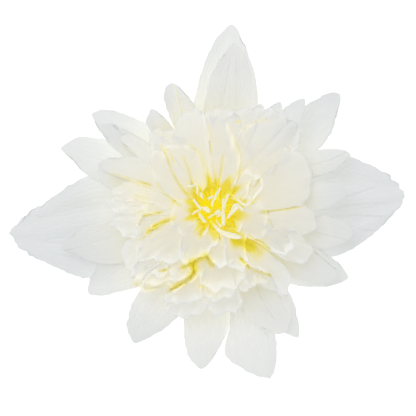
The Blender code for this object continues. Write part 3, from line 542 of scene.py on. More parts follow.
# Heart: a low boss, which upright strands and paler straps stand on
BOSS_RADIUS = 6.5
BOSS_BASE = 16.9
BOSS_RISE = 2.2
BOSS_BUMP = 0.5
BOSS_ROWS = 16
PETALOID_SKIN = 0.26
PETALOID_ROOT_HEIGHT = 18.5
STRAP_ROWS = 30
STRAP_COLUMNS = 8
STRAP_WIDTH = 0.66
STRAP_ROOT_WIDTH = 0.2
STRAP_HOLLOW = 0.9
STRAP_TWIST = 0.5
STRAP_SWAY = 0.4
STRAP_TINT = 0.08
STRAND_ROWS = 8
STRAND_COLUMNS = 6
STRAND_COUNT = 90
STRAND_SEED = 7
FIRST_STRAND = 50
STRAND_START = 0.8
STRAND_REACH = 7.0
STRAND_ROOT_SHARE = 0.4
STRAND_HEIGHTS = (20.4, 22.6)
STRAND_HALF_LENGTHS = (0.9, 2.2)
STRAND_SWING = 0.3
STRAND_BULGE = 0.5
STRAND_ROOT_HALF_WIDTH = 0.5
STRAND_SWAY = 0.3

# The straps: height, then x, y and half-width along each
STRAPS = (
    (25.0, ((-0.9, -2.8, 0.28), (0.2, -4.3, 0.45), (1.6, -5.7, 0.7), (3.4, -6.6, 0.98),
        (5.5, -7.1, 1.01), (7.4, -7.6, 0.37))),
    (25.3, ((0.7, -2.9, 0.2), (1.3, -3.9, 0.28), (2, -4.6, 0.37))),
    (25.6, ((2.4, -4.3, 0.42), (2.5, -2.5, 0.62), (2.4, -1.1, 0.62), (1.9, -0.6, 0.42))),
    (25.7, ((2.5, -0.9, 0.28), (2.4, 1.2, 0.25), (2.6, 3.2, 0.31))),
    (25.7, ((2.6, 0.3, 0.23), (3.1, 2.3, 0.28), (3.9, 4.4, 0.39))),
    (25.5, ((3.3, -2.3, 0.14), (4.2, -1.4, 0.39), (5.3, 0.1, 0.87), (6.2, 1.3, 1.18))),
    (25.8, ((5.8, 1.5, 0.34), (6.9, 0.9, 0.45), (8, -0.2, 0.25))),
    (25.2, ((4.1, 4.4, 0.17), (5.5, 3.4, 0.31), (7.1, 2.2, 0.39), (8.3, 1.4, 0.48), (9.3, 1.9, 0.48),
        (9.6, 3, 0.37), (9.6, 4.1, 0.2))),
    (24.6, ((-0.4, 0.8, 0.23), (-0.5, 2, 0.31), (0.2, 3.3, 0.37), (1, 5.1, 0.31))),
    (25.6, ((0.2, -0.9, 0.37), (0.9, -0.6, 0.68), (1.7, -0.2, 0.37))),
    (25.0, ((0.8, -1.6, 0.25), (1.3, -1.4, 0.48), (1.9, -0.9, 0.37))),
    (24.8, ((0.1, -1.1, 0.2), (-0.8, -1.6, 0.25), (-1.6, -2.2, 0.23))),
    (25.2, ((-1.1, -0.6, 0.37), (-1.7, -0.1, 0.7), (-2.5, 0.4, 0.73), (-3.2, 0.3, 0.42))),
    (25.4, ((-3.2, 0.3, 0.31), (-4, 0.8, 0.31), (-4.8, 1.8, 0.31), (-5.6, 2.9, 0.28))),
    (25.2, ((-4, -0.6, 0.23), (-3.4, -2, 0.48), (-2.7, -2.9, 0.45), (-2.1, -3.4, 0.2))),
    (24.8, ((-3.7, 0.1, 0.2), (-4.9, -0.4, 0.28), (-5.9, -1.2, 0.2))),
    (24.6, ((-3.1, 3.2, 0.2), (-3.4, 3.9, 0.34), (-3.8, 4.8, 0.25))),
    (24.4, ((-4.5, 4.3, 0.2), (-4.5, 5.5, 0.28), (-4.8, 6.9, 0.23))),
    (24.4, ((-4.7, 7, 0.17), (-6, 6.5, 0.31), (-7.4, 6.5, 0.23))),
    (24.8, ((-1.7, -4.6, 0.2), (-2.1, -5.7, 0.45), (-3.3, -7.1, 0.2))),
    (24.8, ((6.4, -5.7, 0.23), (7, -4.9, 0.42), (7.6, -3.7, 0.25))),
    (24.8, ((-1.5, 3, 0.2), (-0.9, 3.4, 0.34), (-0.2, 3.8, 0.23))),
    (24.6, ((0.5, 3.7, 0.17), (1, 4.7, 0.25), (1.7, 6.1, 0.28))),
)

# Greens of the receptacle, from its darker to its paler patches
GREEN_STOPS = (
    (0.3, (0.46, 0.56, 0.22)),
    (0.7, (0.66, 0.73, 0.40)),
)

# Colours of the petal skins along their tint, from the palest to the yellowest. The tint holds the petals'
# own cream and yellow and also painted light and shade: greyer low tints on shaded tepals, yellow in the
# gaps and creases
WHITE_STOPS = (
    (0.0, (0.845, 0.872, 0.885)),
    (0.15, (0.89, 0.905, 0.90)),
    (0.35, (0.92, 0.92, 0.87)),
    (0.7, (0.94, 0.90, 0.62)),
    (1.0, (0.94, 0.84, 0.25)),
)
CREAM_STOPS = (
    (0.0, (0.915, 0.925, 0.915)),
    (0.25, (0.96, 0.945, 0.87)),
    (0.55, (0.965, 0.925, 0.53)),
    (0.8, (0.96, 0.875, 0.14)),
    (1.0, (0.96, 0.84, 0.04)),
)
HEART_STOPS = (
    (0.0, (0.93, 0.93, 0.89)),
    (0.35, (0.94, 0.89, 0.36)),
    (0.7, (0.94, 0.87, 0.06)),
    (1.0, (0.94, 0.86, 0.03)),
)

# Their glow at the same tints: painted light, which stands for the light that comes through thin petals and
# lifts the shade near the head and between the petals
WHITE_GLOW = (
    (0.0, (0.34, 0.35, 0.35)),
    (0.25, (0.80, 0.81, 0.78)),
    (0.5, (0.9, 0.9, 0.8)),
)
CREAM_GLOW = (
    (0.0, (0.45, 0.46, 0.46)),
    (0.3, (0.63, 0.60, 0.51)),
    (0.6, (0.62, 0.54, 0.25)),
    (1.0, (0.54, 0.45, 0.05)),
)
HEART_GLOW = (
    (0.0, (0.76, 0.75, 0.66)),
    (1.0, (1.0, 0.87, 0.02)),
)

# Stage: a bright floor and sky, and one soft light
FLOOR_HALF_SIZE = 3.0
FLOOR_DROP = 0.0002
FLOOR_GLOW = 0.68
SKY_GLOW = 0.65
LIGHT_PLACE = (-0.6, 0.7, 1.6)
LIGHT_SIZE = 1.2
LIGHT_POWER = 5.0


def smooth_step(x):
    x = min(max(x, 0.0), 1.0)
    return x * x * (3.0 - 2.0 * x)


def mix(a, b, share):
    return a + (b - a) * share


def through(knots, x):
    """The value at x of a smooth curve through knots, which are (x, value) pairs in order."""
    last = len(knots) - 1
    i = 0
    while i < last - 1 and x > knots[i + 1][0]:
        i += 1
    (x0, y0), (x1, y1) = knots[i], knots[i + 1]
    before = knots[max(i - 1, 0)]
    after = knots[min(i + 2, last)]
    slope_0 = (y1 - before[1]) / (x1 - before[0])
    slope_1 = (after[1] - y0) / (after[0] - x0)
    f = (x - x0) / (x1 - x0)
    span = x1 - x0
    rise = (2 * f**3 - 3 * f**2 + 1) * y0 + (3 * f**2 - 2 * f**3) * y1
    bend = (f**3 - 2 * f**2 + f) * slope_0 + (f**3 - f**2) * slope_1
    return rise + bend * span


# Shader building

# the Mix node's sockets for colours, by number because others have the same labels
MIX_SHARE = 0
MIX_FIRST = 6
MIX_SECOND = 7
MIX_RESULT = 2


class Socket:
    """An output of a shader node, on which Python's operators add Math nodes."""

    def __init__(self, shader, output):
        self.shader = shader
        self.output = output

    def __add__(self, other):
        return self.shader.maths("ADD", self, other)

    def __radd__(self, other):
        return self.shader.maths("ADD", other, self)

    def __sub__(self, other):
        return self.shader.maths("SUBTRACT", self, other)

    def __rsub__(self, other):
        return self.shader.maths("SUBTRACT", other, self)

    def __mul__(self, other):
        return self.shader.maths("MULTIPLY", self, other)


class Shader:
    """A material with a Principled BSDF, whose fixed values are set on its own sockets."""

    def __init__(self, name, **fixed):
        self.material = bpy.data.materials.new(name)
        self.material.use_nodes = True
        self.tree = self.material.node_tree
        self.surface = self.tree.nodes["Principled BSDF"]
        for label, value in fixed.items():
            self.surface.inputs[label.replace("_", " ")].default_value = value

    def node(self, kind, inputs=(), settings=(), output=0):
        """Adds a node, sets its settings and then its sockets, and returns one of its outputs."""
        made = self.tree.nodes.new("ShaderNode" + kind)
        for key, value in dict(settings).items():
            if key == "stops":
                ramp = made.color_ramp
                while len(ramp.elements) < len(value):
                    ramp.elements.new(1.0)
                for element, (position, rgb) in zip(ramp.elements, value):
                    element.position = position
                    element.color = (*rgb, 1.0)
            else:
                setattr(made, key, value)
        for key, value in dict(inputs).items():
            self.put(made.inputs[key], value)
        return Socket(self, made.outputs[output])

    def put(self, socket, value):
        if isinstance(value, Socket):
            self.tree.links.new(value.output, socket)
        else:
            socket.default_value = value

    def maths(self, operation, *values):
        return self.node("Math", dict(enumerate(values)), {"operation": operation})

    def multiplied(self, first, second):
        """Multiplies two colours."""
        inputs = {MIX_SHARE: 1.0, MIX_FIRST: first, MIX_SECOND: second}
        return self.node("Mix", inputs, {"data_type": "RGBA", "blend_type": "MULTIPLY"}, MIX_RESULT)

    def feed(self, **sockets):
        """Links or sets the Principled BSDF's sockets."""
        for label, value in sockets.items():
            self.put(self.surface.inputs[label.replace("_", " ")], value)


def colour(red, green, blue):
    return (red, green, blue, 1.0)


def petal_skin(name, stops, glow_stops, veins, vein_strength, translucence, glow, gloss):
    """Petal skin: its colour follows the petal's tint, with soft mottling and fine lengthwise veins, and it
    glows along the tint with painted light.
    """
    shader = Shader(
        name,
        Subsurface_Weight=translucence,
        Subsurface_Radius=(1.0, 0.95, 0.8),
        Subsurface_Scale=0.003,
        Specular_IOR_Level=gloss,
        Emission_Strength=glow,
    )
    place = shader.node("TexCoord", output="Object")
    flat = shader.node("UVMap", settings={"uv_map": "petal"})
    tint = shader.node("Attribute", settings={"attribute_name": "tint"}, output="Fac")
    base = shader.node("ValToRGB", {0: tint}, {"stops": stops})

    cloud = shader.node("TexNoise", {"Vector": place, "Scale": 90.0, "Detail": 3.0})
    grain = shader.node("TexNoise", {"Vector": place, "Scale": 1500.0, "Detail": 2.0})
    stretched = shader.node("Mapping", {"Vector": flat, "Scale": (2.0, veins, 1.0)})
    lines = shader.node("TexNoise", {"Vector": stretched, "Scale": 1.0, "Detail": 2.0})
    ridge = shader.maths("ABSOLUTE", lines - 0.5) * 4.0

    shade = 1.0 - (cloud - 0.5) * 0.05 - (1.0 - ridge) * vein_strength
    tone = shader.node("CombineColor", {0: shade, 1: shade, 2: shade})
    painted = shader.multiplied(base, tone)
    height = ridge * 0.6 + grain * 0.25
    bump = shader.node("Bump", {"Height": height, "Distance": 0.00012, "Strength": 0.35})
    rough = 0.48 + cloud * 0.14
    # painted light: a glow that follows the tint
    lit = shader.node("ValToRGB", {0: tint}, {"stops": glow_stops})
    shader.feed(Base_Color=painted, Emission_Color=lit, Roughness=rough, Normal=bump)
    return shader.material


def green_skin():
    """Fleshy green skin of the receptacle, paler in patches and finely grained."""
    shader = Shader("receptacle_green", Specular_IOR_Level=0.35)
    place = shader.node("TexCoord", output="Object")
    cloud = shader.node("TexNoise", {"Vector": place, "Scale": 160.0, "Detail": 3.0})
    grain = shader.node("TexNoise", {"Vector": place, "Scale": 1400.0, "Detail": 2.0})
    base = shader.node("ValToRGB", {0: cloud}, {"stops": GREEN_STOPS})
    bump = shader.node("Bump", {"Height": grain + cloud, "Distance": 0.0002, "Strength": 0.4})
    shader.feed(Base_Color=base, Roughness=0.4 + grain * 0.2, Normal=bump)
    return shader.material


# Petal building


def new_mesh():
    mesh = bmesh.new()
    mesh.loops.layers.uv.new("petal")
    mesh.verts.layers.float.new("tint")
    return mesh


def add_blade(mesh, rows, columns, place):
    """Adds a petal: a grid that place(k, v) shapes and tints, k along it from 0 and v across from -1."""
    grid = bmesh.ops.create_grid(mesh, x_segments=rows, y_segments=columns, size=1.0, calc_uvs=True)
    tint = mesh.verts.layers.float["tint"]
    for vertex in grid["verts"]:
        point, amount = place((vertex.co.x + 1.0) / 2.0, vertex.co.y)
        vertex.co = point * MM
        vertex[tint] = min(max(amount, 0.0), 1.0)


def close_turn(mesh):
    """Joins the two ends of a grid that was bent right round."""
    bmesh.ops.remove_doubles(mesh, verts=mesh.verts[:], dist=0.00001)
    bmesh.ops.recalc_face_normals(mesh, faces=mesh.faces[:])


def finish_piece(name, mesh, material, skin, slot, *nodes):
    """Turns a mesh into a piece with a wall, which rides on the root and stands for solids."""
    data = bpy.data.meshes.new(name)
    mesh.to_mesh(data)
    mesh.free()
    data.materials.append(material)
    data.shade_smooth()
    piece = bpy.data.objects.new(name, data)
    bpy.context.scene.collection.objects.link(piece)
    wall = piece.modifiers.new("Skin", "SOLIDIFY")
    wall.thickness = skin * MM
    wall.offset = 0.0
    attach(piece, "root")
    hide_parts(*nodes)


def ripple(point, scale, seed):
    """Smooth noise from -1 to 1 at a point in millimetres."""
    return noise.noise(Vector(point) / scale + Vector((seed * 17.3, seed * 5.1, 0.0)))


# Creases


def crease_lines(creases):
    """Each crease's values, the ranges of x and y that it reaches, and its straight stretches."""
    lines = []
    for values in creases:
        points = [Vector(point) for point in values[-1]]
        stretches = []
        for start, end in zip(points, points[1:]):
            stretches.append((start, (end - start).normalized(), (end - start).length))
        xs = [point.x for point in points]
        ys = [point.y for point in points]
        x_range = (min(xs) - CREASE_REACH, max(xs) + CREASE_REACH)
        y_range = (min(ys) - CREASE_REACH, max(ys) + CREASE_REACH)
        lines.append((values, x_range, y_range, stretches))
    return lines


HEAD_CREASES = crease_lines(CREASES)


def nearest_stretch(stretches, x, y):
    """How far a point lies to the left of the nearest stretch, and how far past its ends."""
    nearest = None
    for start, along, length in stretches:
        step_x = x - start.x
        step_y = y - start.y
        share = step_x * along.x + step_y * along.y
        over = max(-share, share - length, 0.0)
        beside = step_y * along.x - step_x * along.y
        gap = math.hypot(beside, over)
        if nearest is None or gap < nearest[0]:
            nearest = (gap, beside, over)
    return nearest[1:]


def creased(lines, x, y):
    """How far creases lift a point, and how yellow they make it with painted shade."""
    lift = 0.0
    yellow = 0.0
    for (depth, width, strength, _), x_range, y_range, stretches in lines:
        if not (x_range[0] < x < x_range[1] and y_range[0] < y < y_range[1]):
            continue
        beside, over = nearest_stretch(stretches, x, y)
        waver = 0.75 + CREASE_WAVER * ripple((x, y, 7.0), CREASE_WAVER_LENGTH, 5)
        fade = (1.0 - smooth_step(over / CREASE_FADE)) * waver
        if beside < 0:
            lift -= depth * fade * math.exp(beside / width)
        else:
            lift += CREASE_LIP * depth * fade * math.exp(-beside / width)
        # painted shade: a yellow line along each crease
        off_line = (beside + CREASE_LINE_PLACE) / (CREASE_LINE_WIDTH * width)
        yellow += strength * fade * math.exp(-(off_line**2))
    return lift, yellow


# Outer tepals


def tepal_root(layer):
    """Radius at which a layer's tepals meet the receptacle."""
    height = LAYERS[layer][0] + TEPAL_WALL / 2
    share = (height - NECK_HEIGHT) / (RECEPTACLE_TOP - NECK_HEIGHT)
    return NECK_RADIUS + share * (RECEPTACLE_TOP_RADIUS - NECK_RADIUS) + SEAT_GAP


def layer_height(layer, radius):
    """The height of a layer of tepals: the parabola through its three heights."""
    root, middle, rim = LAYERS[layer]
    a, b, c = tepal_root(layer), MID_RADIUS, RIM_RADIUS
    share_root = (radius - b) * (radius - c) / ((a - b) * (a - c))
    share_middle = (radius - a) * (radius - c) / ((b - a) * (b - c))
    share_rim = (radius - a) * (radius - b) / ((c - a) * (c - b))
    return root * share_root + middle * share_middle + rim * share_rim


def make_tepal(
    name, material, seed, azimuth, reach, layer, left, right, left_rise, right_rise, lift, roundness
):
    """One tepal: its outline, cup, ribs and lift are the solid's, with finer edges, veins and creases."""
    root = tepal_root(layer)
    angle = math.radians(azimuth)
    outward = Vector((math.cos(angle), math.sin(angle), 0.0))
    across = Vector((-math.sin(angle), math.cos(angle), 0.0))
    radii = (root, *(reach * station for station in STATIONS))
    knots = {
        1: tuple(zip(radii, (TEPAL_ROOT_HALF_WIDTH, *left))),
        -1: tuple(zip(radii, (TEPAL_ROOT_HALF_WIDTH, *right))),
    }
    widest = max(left + right)
    broad = reach > BROAD_REACH
    veins = 2.0 * widest / VEIN_SPACING
    side_end = STATIONS[-1] * reach
    fade = BROAD_FADE if broad else FADE_PER_REACH * reach
    ragged = BROAD_TOOTH_DEPTH if broad else TOOTH_DEPTH
    # painted light and shade: the outer tint greys tepals in shade and brightens lit ones
    outer_shade_tint = OUTER_SHADE_TINTS.get(name, OUTER_TINT)
    lines = crease_lines(TEPAL_CREASES.get(name, ()))

    def place(k, v):
        along = mix(k, 1.0 - (1.0 - k) ** 2, 0.5)
        edge = mix(root, side_end, along)
        centre = mix(root, reach, along)
        bow = 1.0 - abs(v) ** roundness
        radius = mix(edge, centre, bow)
        side = 1 if v >= 0 else -1
        rise = left_rise if v >= 0 else right_rise
        half_width = through(knots[side], edge)
        half_width *= 1.0 + EDGE_DRIFT * along * ripple((edge, side * 9.0, 0.0), EDGE_DRIFT_LENGTH, seed)
        half_width += ragged * along**2 * ripple((edge, side * 9.0, 4.0), TOOTH_LENGTH, seed)
        radius += ragged * k**8 * ripple((v * half_width, 0.0, 8.0), TOOTH_LENGTH, seed)
        shaped = smooth_step((radius - CUP_START) / (CUP_FULL - CUP_START)) * half_width / widest
        height = layer_height(layer, radius) + shaped * rise * v * v
        height += lift * smooth_step((radius - LIFT_START) / (reach - LIFT_START))
        if broad:
            height += RIB_DEPTH * shaped * math.cos(RIBS * math.pi * v) * (1.0 - v * v)
        wave = math.sin(radius * EDGE_WAVE_TURN + seed * 2.1 + 1.7 * side)
        height += EDGE_WAVE * shaped * wave * v * v
        wander = VEIN_WANDER * ripple((radius, v * 6.0, 3.0), VEIN_WANDER_LENGTH, seed)
        vein = math.cos(math.pi * veins * (v + wander))
        height += VEIN_DEPTH * vein * smooth_step(along * 5.0) * (1.0 - along**6)
        point = outward * radius + across * (v * half_width) + Vector((0.0, 0.0, height))
        # painted light: the cream tint near the root also raises the glow there
        tint = mix(ROOT_TINT, outer_shade_tint, smooth_step((radius - TEPAL_FADE_START) / fade))
        # the creases add painted shade to the tint
        crease, yellow = creased(lines, point.x, point.y)
        point.z += crease
        return point, tint + yellow

    mesh = new_mesh()
    columns = 2 * round(max(24.0, veins * TEPAL_COLUMNS_PER_VEIN / 2))
    add_blade(mesh, TEPAL_ROWS, columns, place)
    finish_piece(name + "_skin", mesh, material, TEPAL_SKIN, "tepal_white", name)


# Inner petals


def curve_point(points, f):
    """The point a share f along a smooth curve through points."""
    last = len(points) - 1
    place = min(max(f, 0.0), 1.0) * last
    i = min(int(place), last - 1)
    t = place - i
    a = Vector(points[max(i - 1, 0)])
    b = Vector(points[i])
    c = Vector(points[i + 1])
    d = Vector(points[min(i + 2, last)])
    return 0.5 * (2 * b + (c - a) * t + (2 * a - 5 * b + 4 * c - d) * t**2 + (3 * b - a - 3 * c + d) * t**3)


def sky_directions():
    """Directions that look up and out, for how deep a point lies between the petals."""
    directions = []
    for tilt, count in SKY_RINGS:
        up = math.cos(math.radians(tilt))
        out = math.sin(math.radians(tilt))
        for i in range(count):
            turn = math.tau * (i + 0.5 * (count % 2)) / count
            directions.append(Vector((out * math.cos(turn), out * math.sin(turn), up)))
    return directions


def paint_gap_shade(meshes, paint):
    """Paints shade: sets every point's tint to paint(point, shut), where shut is the share of the sky that
    petals hide.
    """
    crowd = bmesh.new()
    for mesh in meshes:
        data = bpy.data.meshes.new("crowd")
        mesh.to_mesh(data)
        crowd.from_mesh(data)
        bpy.data.meshes.remove(data)
    tree = BVHTree.FromBMesh(crowd)
    crowd.free()
    sky = sky_directions()
    for mesh in meshes:
        tint = mesh.verts.layers.float["tint"]
        mesh.normal_update()
        for vertex in mesh.verts:
            normal = vertex.normal if vertex.normal.z > 0 else -vertex.normal
            start = vertex.co + normal * (SKY_START * MM)
            hits = sum(tree.ray_cast(start, ray, SKY_REACH * MM)[0] is not None for ray in sky)
            vertex[tint] = min(max(paint(vertex.co / MM, hits / len(sky)), 0.0), 1.0)


def streaks(turn, count, run, seed):
    """Noise from -1 to 1 in streaks that run outward from the heart."""
    return ripple((count * math.cos(turn), count * math.sin(turn), run), 1.0, seed)


def heart_share(point):
    """How far a point lies in the deep yellow heart, which runs out in streaks, most of all to the right."""
    x = point.x - HEART_CENTRE[0]
    y = point.y - HEART_CENTRE[1]
    radius = math.hypot(x, y)
    turn = math.atan2(y, x)
    reach = HEART_REACH + HEART_BULGE * math.cos(turn - HEART_BULGE_TURN)
    streak = streaks(turn, 5.0, radius / 9.0, 11)
    return 1.0 - smooth_step((radius / reach - HEART_FADE_START - HEART_STREAK * streak) / HEART_FADE)


def inner_tint(point, shut):
    """Yellow of a point on an inner petal: strong in the heart and the gaps, gone at the outer tips. In the
    gaps and creases it is painted shade.
    """
    radius = math.hypot(point.x, point.y)
    turn = math.atan2(point.y, point.x)
    outer = smooth_step((radius - OUTER_START) / OUTER_RUN)
    lower = smooth_step((LOWER_HALF_START - point.y) / LOWER_HALF_RUN)
    base = mix(*BASE_TINTS, lower) * (1.0 - OUTER_PALING * outer)
    # painted shade: yellow where the petals hide the sky
    gap = smooth_step((shut - mix(*GAP_SHADE_STARTS, lower)) / GAP_SHADE_RUN) * mix(*GAP_SHADE_TINTS, lower)
    streak = max(0.0, 0.5 + streaks(turn, 9.0, radius / 14.0, 12))
    halo = HALO_TINT * (1.0 - lower) * streak * (1.0 - smooth_step((radius - HALO_START) / HALO_RUN))
    crease = creased(HEAD_CREASES, point.x, point.y)[1]
    return base + halo + HEART_TINT * heart_share(point) + gap * mix(1.0, OUTER_GAP_SHADE_SHARE, outer) + crease


def inner_petal(seed, azimuth, root_radius, low, high, ruffle, edge):
    """A petal whose ribs bow up from the core to a traced free edge, which frills and lifts."""
    angle = math.radians(azimuth)
    outward = Vector((math.cos(angle), math.sin(angle), 0.0))
    across = Vector((math.sin(angle), -math.cos(angle), 0.0))
    length = sum((Vector(b) - Vector(a)).length for a, b in zip(edge, edge[1:]))
    waves = length / FRILL_LENGTH

    def place(k, v):
        rim = curve_point(edge, (v + 1.0) / 2.0)
        root = outward * root_radius + across * (v * PETAL_ROOT_HALF_WIDTH)
        root.z = PETAL_ROOT_HEIGHT
        rise = root + outward * PETAL_RISE
        rise.z = low
        crest = root.lerp(rim, 0.5) + across * (PETAL_SPREAD * v * abs(v))
        crest.z = high
        u = mix(k, 1.0 - (1.0 - k) ** 2, 0.4)
        a, b, c, d = (1 - u) ** 3, 3 * u * (1 - u) ** 2, 3 * u * u * (1 - u), u**3
        point = root * a + rise * b + crest * c + rim * d
        x, y = point.x, point.y
        sway = SWAY * (0.6 + 2.6 * ruffle * k**3)
        point.x += sway * ripple((x, y, 5.0), SWAY_LENGTH, seed) * u
        point.y += sway * ripple((x, y, 9.0), SWAY_LENGTH, seed) * u
        frill = ruffle * k**5 * (1.0 - 0.5 * v**4)
        phase = math.pi * waves * v + 2.5 * ripple((v * 3.0, 0.0, 1.0), 1.0, seed)
        point.z += FRILL_HEIGHT * frill * math.sin(phase)
        point.z += SWELL * ruffle * ripple((x, y, 3.0), SWELL_LENGTH, seed) * u
        curl = max(0.0, ruffle - FLAT_RUFFLE)
        point.z += curl * (RIM_RISE * k**8 - RIM_DIP * (1.0 - v**4) * math.sin(math.pi * k**4))
        ray = (rim - root).to_2d().normalized().to_3d()
        point += ray * (FRILL_DEPTH * frill * math.cos(phase))
        point.z += creased(HEAD_CREASES, x, y)[0] * u
        point.z -= DROOP * smooth_step((math.hypot(x, y) - DROOP_START) / DROOP_RUN) * k**3
        return point, 0.0

    return place


def make_inner_petals(material):
    meshes = {}
    seed = 0
    for part, petals in INNER_PETALS.items():
        meshes[part] = new_mesh()
        for values in petals.values():
            columns = PETAL_COLUMNS_PER_POINT * len(values[-1])
            add_blade(meshes[part], PETAL_ROWS, columns, inner_petal(seed, *values))
            seed += 1
    paint_gap_shade(meshes.values(), inner_tint)
    for part, mesh in meshes.items():
        finish_piece(part, mesh, material, PETAL_SKIN, "petal_cream", "inner_petals")


def make_core(material):
    """The crowded bases of the petals, inside the head."""
    last = len(CORE_PROFILE) - 1
    radii = [(i / last, radius - CORE_INSET) for i, (radius, _) in enumerate(CORE_PROFILE)]
    heights = [(i / last, height) for i, (_, height) in enumerate(CORE_PROFILE)]

    def place(k, v):
        turn = math.pi * v
        radius = CORE_HOLE if k > 0.999 else through(radii, k)
        return Vector((radius * math.cos(turn), radius * math.sin(turn), through(heights, k))), 1.0

    mesh = new_mesh()
    add_blade(mesh, CORE_ROWS, ROUND_COLUMNS, place)
    close_turn(mesh)
    finish_piece("head_core", mesh, material, PETAL_SKIN, "petal_cream", "inner_petals")


# Heart


def strap(seed, height, points):
    """A thin pale petaloid that rises from the boss and then lies along points."""
    path = [Vector((0.5 * points[0][0], 0.5 * points[0][1], PETALOID_ROOT_HEIGHT))]
    path += [Vector((x, y, height)) for x, y, _ in points]
    widths = [(STRAP_ROOT_WIDTH, 0.0, 0.0), *((STRAP_WIDTH * width, 0.0, 0.0) for _, _, width in points)]

    def place(k, v):
        point = curve_point(path, k)
        ahead = (curve_point(path, k + 0.03) - curve_point(path, k - 0.03)).to_2d().normalized()
        tip = max(0.0, (k - 0.9) / 0.1)
        width = curve_point(widths, k).x * math.sqrt(max(0.02, 1.0 - tip**2))
        point += Vector((-ahead.y, ahead.x, 0.0)) * (width * v)
        twist = STRAP_TWIST * width * v * ripple((k * 3.0, 0.0, 0.0), 1.0, seed)
        point.z += STRAP_HOLLOW * width * v * v + twist
        point.z += STRAP_SWAY * ripple(point, 1.6, seed) * k
        return point, mix(1.0, STRAP_TINT, smooth_step((k - 0.15) / 0.25))

    return place


def strand(seed, root, start, middle, end):
    """A thin upright petaloid in the deep yellow of the heart, whose free edge runs through three points."""
    start, middle, end = Vector(start), Vector(middle), Vector(end)
    root = Vector((*root, PETALOID_ROOT_HEIGHT))
    along = (end - start).to_2d().normalized().to_3d()

    def place(k, v):
        f = (v + 1.0) / 2.0
        edge = (1 - f) * (1 - 2 * f) * start + 4 * f * (1 - f) * middle - f * (1 - 2 * f) * end
        foot = root + along * (v * STRAND_ROOT_HALF_WIDTH)
        point = foot.lerp(edge, 1.0 - (1.0 - k) ** 2.5)
        point.z = foot.z + (edge.z - foot.z) * k**1.8
        point.x += STRAND_SWAY * ripple(point, 2.0, seed) * k
        point.y += STRAND_SWAY * ripple(point, 2.0, seed + 31) * k
        tint = 1.0 - 0.25 * smooth_step((k - 0.72) / 0.28)
        return point, tint

    return place


def make_heart(material):
    """The tuft: traced straps among strands that stand at random."""
    mesh = new_mesh()
    for seed, values in enumerate(STRAPS):
        add_blade(mesh, STRAP_ROWS, STRAP_COLUMNS, strap(seed, *values))
    dice = random.Random(STRAND_SEED)
    for seed in range(STRAND_COUNT):
        turn = dice.uniform(0.0, math.tau)
        spread = STRAND_START + STRAND_REACH * math.sqrt(dice.random())
        height = dice.uniform(*STRAND_HEIGHTS)
        centre = Vector((spread * math.cos(turn), spread * math.sin(turn), height))
        swing = turn + dice.uniform(-STRAND_SWING, STRAND_SWING)
        half = Vector((math.cos(swing), math.sin(swing), 0.0)) * dice.uniform(*STRAND_HALF_LENGTHS)
        bulge = Vector((-math.sin(turn), math.cos(turn), 0.3)) * dice.uniform(-STRAND_BULGE, STRAND_BULGE)
        root = (centre * STRAND_ROOT_SHARE).to_2d()
        place = strand(FIRST_STRAND + seed, root, centre - half, centre + bulge, centre + half)
        add_blade(mesh, STRAND_ROWS, STRAND_COLUMNS, place)
    finish_piece("heart_tuft", mesh, material, PETALOID_SKIN, "heart_yellow", "heart_petaloids")


def make_boss(material):
    """The low bumpy mound that the strands and straps stand on."""

    def place(k, v):
        turn = math.pi * v
        radius = max(0.02, BOSS_RADIUS * (1.0 - k))
        x = radius * math.cos(turn)
        y = radius * math.sin(turn)
        height = BOSS_BASE + BOSS_RISE * smooth_step(k * 1.6) + BOSS_BUMP * ripple((x, y, 0.0), 1.2, 3)
        return Vector((x, y, height)), 1.0

    mesh = new_mesh()
    add_blade(mesh, BOSS_ROWS, ROUND_COLUMNS, place)
    close_turn(mesh)
    finish_piece("heart_boss", mesh, material, PETALOID_SKIN, "heart_yellow", "heart_petaloids")


# Stage


def make_floor():
    mesh = bmesh.new()
    bmesh.ops.create_grid(mesh, x_segments=1, y_segments=1, size=FLOOR_HALF_SIZE)
    data = bpy.data.meshes.new("floor")
    mesh.to_mesh(data)
    mesh.free()
    floor = bpy.data.objects.new("floor", data)
    floor.location.z = -FLOOR_DROP
    bpy.context.scene.collection.objects.link(floor)
    shader = Shader(
        "floor_white",
        Base_Color=colour(0.5, 0.5, 0.5),
        Roughness=0.9,
        Specular_IOR_Level=0.0,
        Emission_Color=colour(1.0, 1.0, 1.0),
        Emission_Strength=FLOOR_GLOW,
    )
    data.materials.append(shader.material)


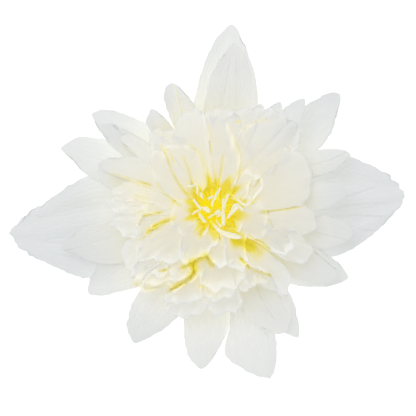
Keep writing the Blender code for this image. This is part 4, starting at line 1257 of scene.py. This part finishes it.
def make_light():
    data = bpy.data.lights.new("key", "AREA")
    data.size = LIGHT_SIZE
    data.energy = LIGHT_POWER
    light = bpy.data.objects.new("key", data)
    light.location = LIGHT_PLACE
    light.rotation_mode = "QUATERNION"
    light.rotation_quaternion = (-Vector(LIGHT_PLACE)).to_track_quat("-Z", "Y")
    bpy.context.scene.collection.objects.link(light)


def make_sky():
    world = bpy.data.worlds.new("studio")
    world.use_nodes = True
    background = world.node_tree.nodes["Background"]
    background.inputs[0].default_value = colour(1.0, 1.0, 1.0)
    background.inputs[1].default_value = SKY_GLOW
    bpy.context.scene.world = world
    bpy.context.scene.view_settings.view_transform = "Standard"


def make_camera():
    """The photograph's view, straight down over its middle."""
    data = bpy.data.cameras.new("camera")
    data.sensor_width = SENSOR
    data.lens = SENSOR * CAMERA_HEIGHT / (IMAGE_SIZE * PIXEL)
    data.clip_end = 10.0
    camera = bpy.data.objects.new("camera", data)
    middle = IMAGE_SIZE / 2
    x = (middle - FLOWER_PIXEL[0]) * PIXEL
    y = (FLOWER_PIXEL[1] - middle) * PIXEL
    camera.location = Vector((x, y, CAMERA_HEIGHT)) * MM
    bpy.context.scene.collection.objects.link(camera)
    bpy.context.scene.camera = camera


def main():
    # each skin glows with painted light at the strength given
    white = petal_skin(
        "tepal_white", WHITE_STOPS, WHITE_GLOW,
        veins=30.0, vein_strength=0.03, translucence=0.25, glow=0.13, gloss=0.2,
    )
    cream = petal_skin(
        "petal_cream", CREAM_STOPS, CREAM_GLOW,
        veins=12.0, vein_strength=0.02, translucence=0.5, glow=0.225, gloss=0.15,
    )
    yellow = petal_skin(
        "heart_yellow", HEART_STOPS, HEART_GLOW,
        veins=4.0, vein_strength=0.02, translucence=0.4, glow=0.19, gloss=0.05,
    )
    for whorl, tepals in (("back_tepal_", BACK_TEPALS), ("front_tepal_", FRONT_TEPALS)):
        for seed, (name, values) in enumerate(tepals.items()):
            make_tepal(whorl + name, white, seed, *values)
    make_inner_petals(cream)
    make_core(cream)
    make_heart(yellow)
    make_boss(yellow)
    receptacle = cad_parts["receptacle"].data
    receptacle.materials.clear()
    receptacle.materials.append(green_skin())
    make_floor()
    make_light()
    make_sky()
    make_camera()


main()
